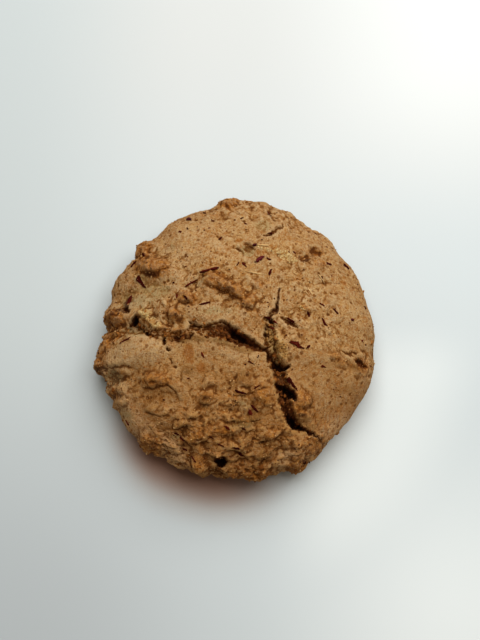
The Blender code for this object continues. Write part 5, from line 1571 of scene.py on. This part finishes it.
# A tint on the far side, painted light on the right, and painted shade on the left, most of all at the near
# left
paper.paint(PAPER_WHITE, up.between(0.02, 0.11))
paper.paint(PAPER_BRIGHT, across.between(0.0, 0.075) * up.between(0.03, 0.10))
paper.paint(PAPER_LEFT, across.between(-0.01, -0.08) * 0.95)
paper.paint(PAPER_NEAR, up.between(-0.02, -0.09) * across.between(0.0, 0.07))
paper.paint(PAPER_SHADE, up.between(0.02, -0.09) * across.between(0.03, -0.07))
# Painted light on the paper close to the cookie's near right
paper.paint(PAPER_LIT, away.between(0.085, 0.060) * lit_side * 0.22)
# A warm painted shadow on the near side, darkest against the cookie
paper.paint(PAPER_SHADOW, away.between(0.063, 0.045) * shadow_side * 0.75)
paper.paint(PAPER_CONTACT_SHADOW, away.between(0.056, 0.046) * shadow_side * 0.6)
sheet.data.materials.append(paper.finish_with(roughness=0.7))
print("paper:", len(paper.tree.nodes), "nodes")

# %% [markdown]
# ## Light and camera
#
# One wide, soft light stands high on the far side, a little to the right, as a window would. It leaves a
# soft shadow on the near side, and a warm, dim world fills the rest. The camera looks almost straight down.

# %% Stage
VIEW_ELEVATION = 78.0
LENS = 60.0
SENSOR = 36.0
CLIP_START = 0.01
PICTURE_SIZE = (480, 640)
COOKIE_PIXEL = (235.0, 336.5)
MM_PER_PIXEL = 0.3209
LIGHT_DIRECTION = 68.0
LIGHT_ELEVATION = 60.0
LIGHT_DISTANCE = 0.55
LIGHT_SIZE = 0.62
LIGHT_POWER = 4.7
WORLD_COLOUR = (1.0, 0.88, 0.74)
WORLD_STRENGTH = 0.31


def added(name, data):
    """A new object for a camera or a light."""
    thing = bpy.data.objects.new(name, data)
    bpy.context.scene.collection.objects.link(thing)
    return thing


def aim(thing, at, target):
    """Puts a camera or light at a place, in millimetres, with its -Z towards the target."""
    way = at - target
    thing.location = at * MM
    thing.rotation_euler = (math.acos(way[2] / np.linalg.norm(way)), 0, math.atan2(way[0], -way[1]))


def add_camera():
    """Looks down from the near side, from where a millimetre at the rim is the photograph's pixel size."""
    camera = added("camera", bpy.data.cameras.new("camera"))
    camera.data.lens = LENS
    camera.data.sensor_width = SENSOR
    camera.data.clip_start = CLIP_START
    lean = math.radians(VIEW_ELEVATION)
    up = np.array([0, math.sin(lean), math.cos(lean)])
    back = np.array([0, -math.cos(lean), math.sin(lean)])
    right = np.array([1.0, 0, 0])
    off_x = COOKIE_PIXEL[0] - PICTURE_SIZE[0] / 2
    off_y = COOKIE_PIXEL[1] - PICTURE_SIZE[1] / 2
    target = place + np.array([0, 0, RIM_HEIGHT]) + (up * off_y - right * off_x) * MM_PER_PIXEL
    distance = LENS / SENSOR * PICTURE_SIZE[1] * MM_PER_PIXEL
    aim(camera, target + back * distance, target)
    bpy.context.scene.camera = camera


def add_window():
    """One wide, soft light, high on the far side and a little to the right."""
    window = added("window", bpy.data.lights.new("window", "AREA"))
    window.data.shape = "SQUARE"
    window.data.size = LIGHT_SIZE
    window.data.energy = LIGHT_POWER
    direction = math.radians(LIGHT_DIRECTION)
    height = math.radians(LIGHT_ELEVATION)
    level = math.cos(height)
    way = np.array([math.cos(direction) * level, math.sin(direction) * level, math.sin(height)])
    aim(window, way * LIGHT_DISTANCE / MM, np.zeros(3))


def add_world():
    """An even, warm and dim light from everywhere."""
    world = bpy.data.worlds.new("daylight")
    world.use_nodes = True
    background = world.node_tree.nodes["Background"]
    background.inputs["Color"].default_value = (*WORLD_COLOUR, 1.0)
    background.inputs["Strength"].default_value = WORLD_STRENGTH
    bpy.context.scene.world = world


add_camera()
add_window()
add_world()
bpy.context.scene.view_settings.view_transform = "Standard"
bpy.context.scene.view_settings.look = "Medium High Contrast"
print("camera at", tuple(round(c, 3) for c in bpy.context.scene.camera.location))
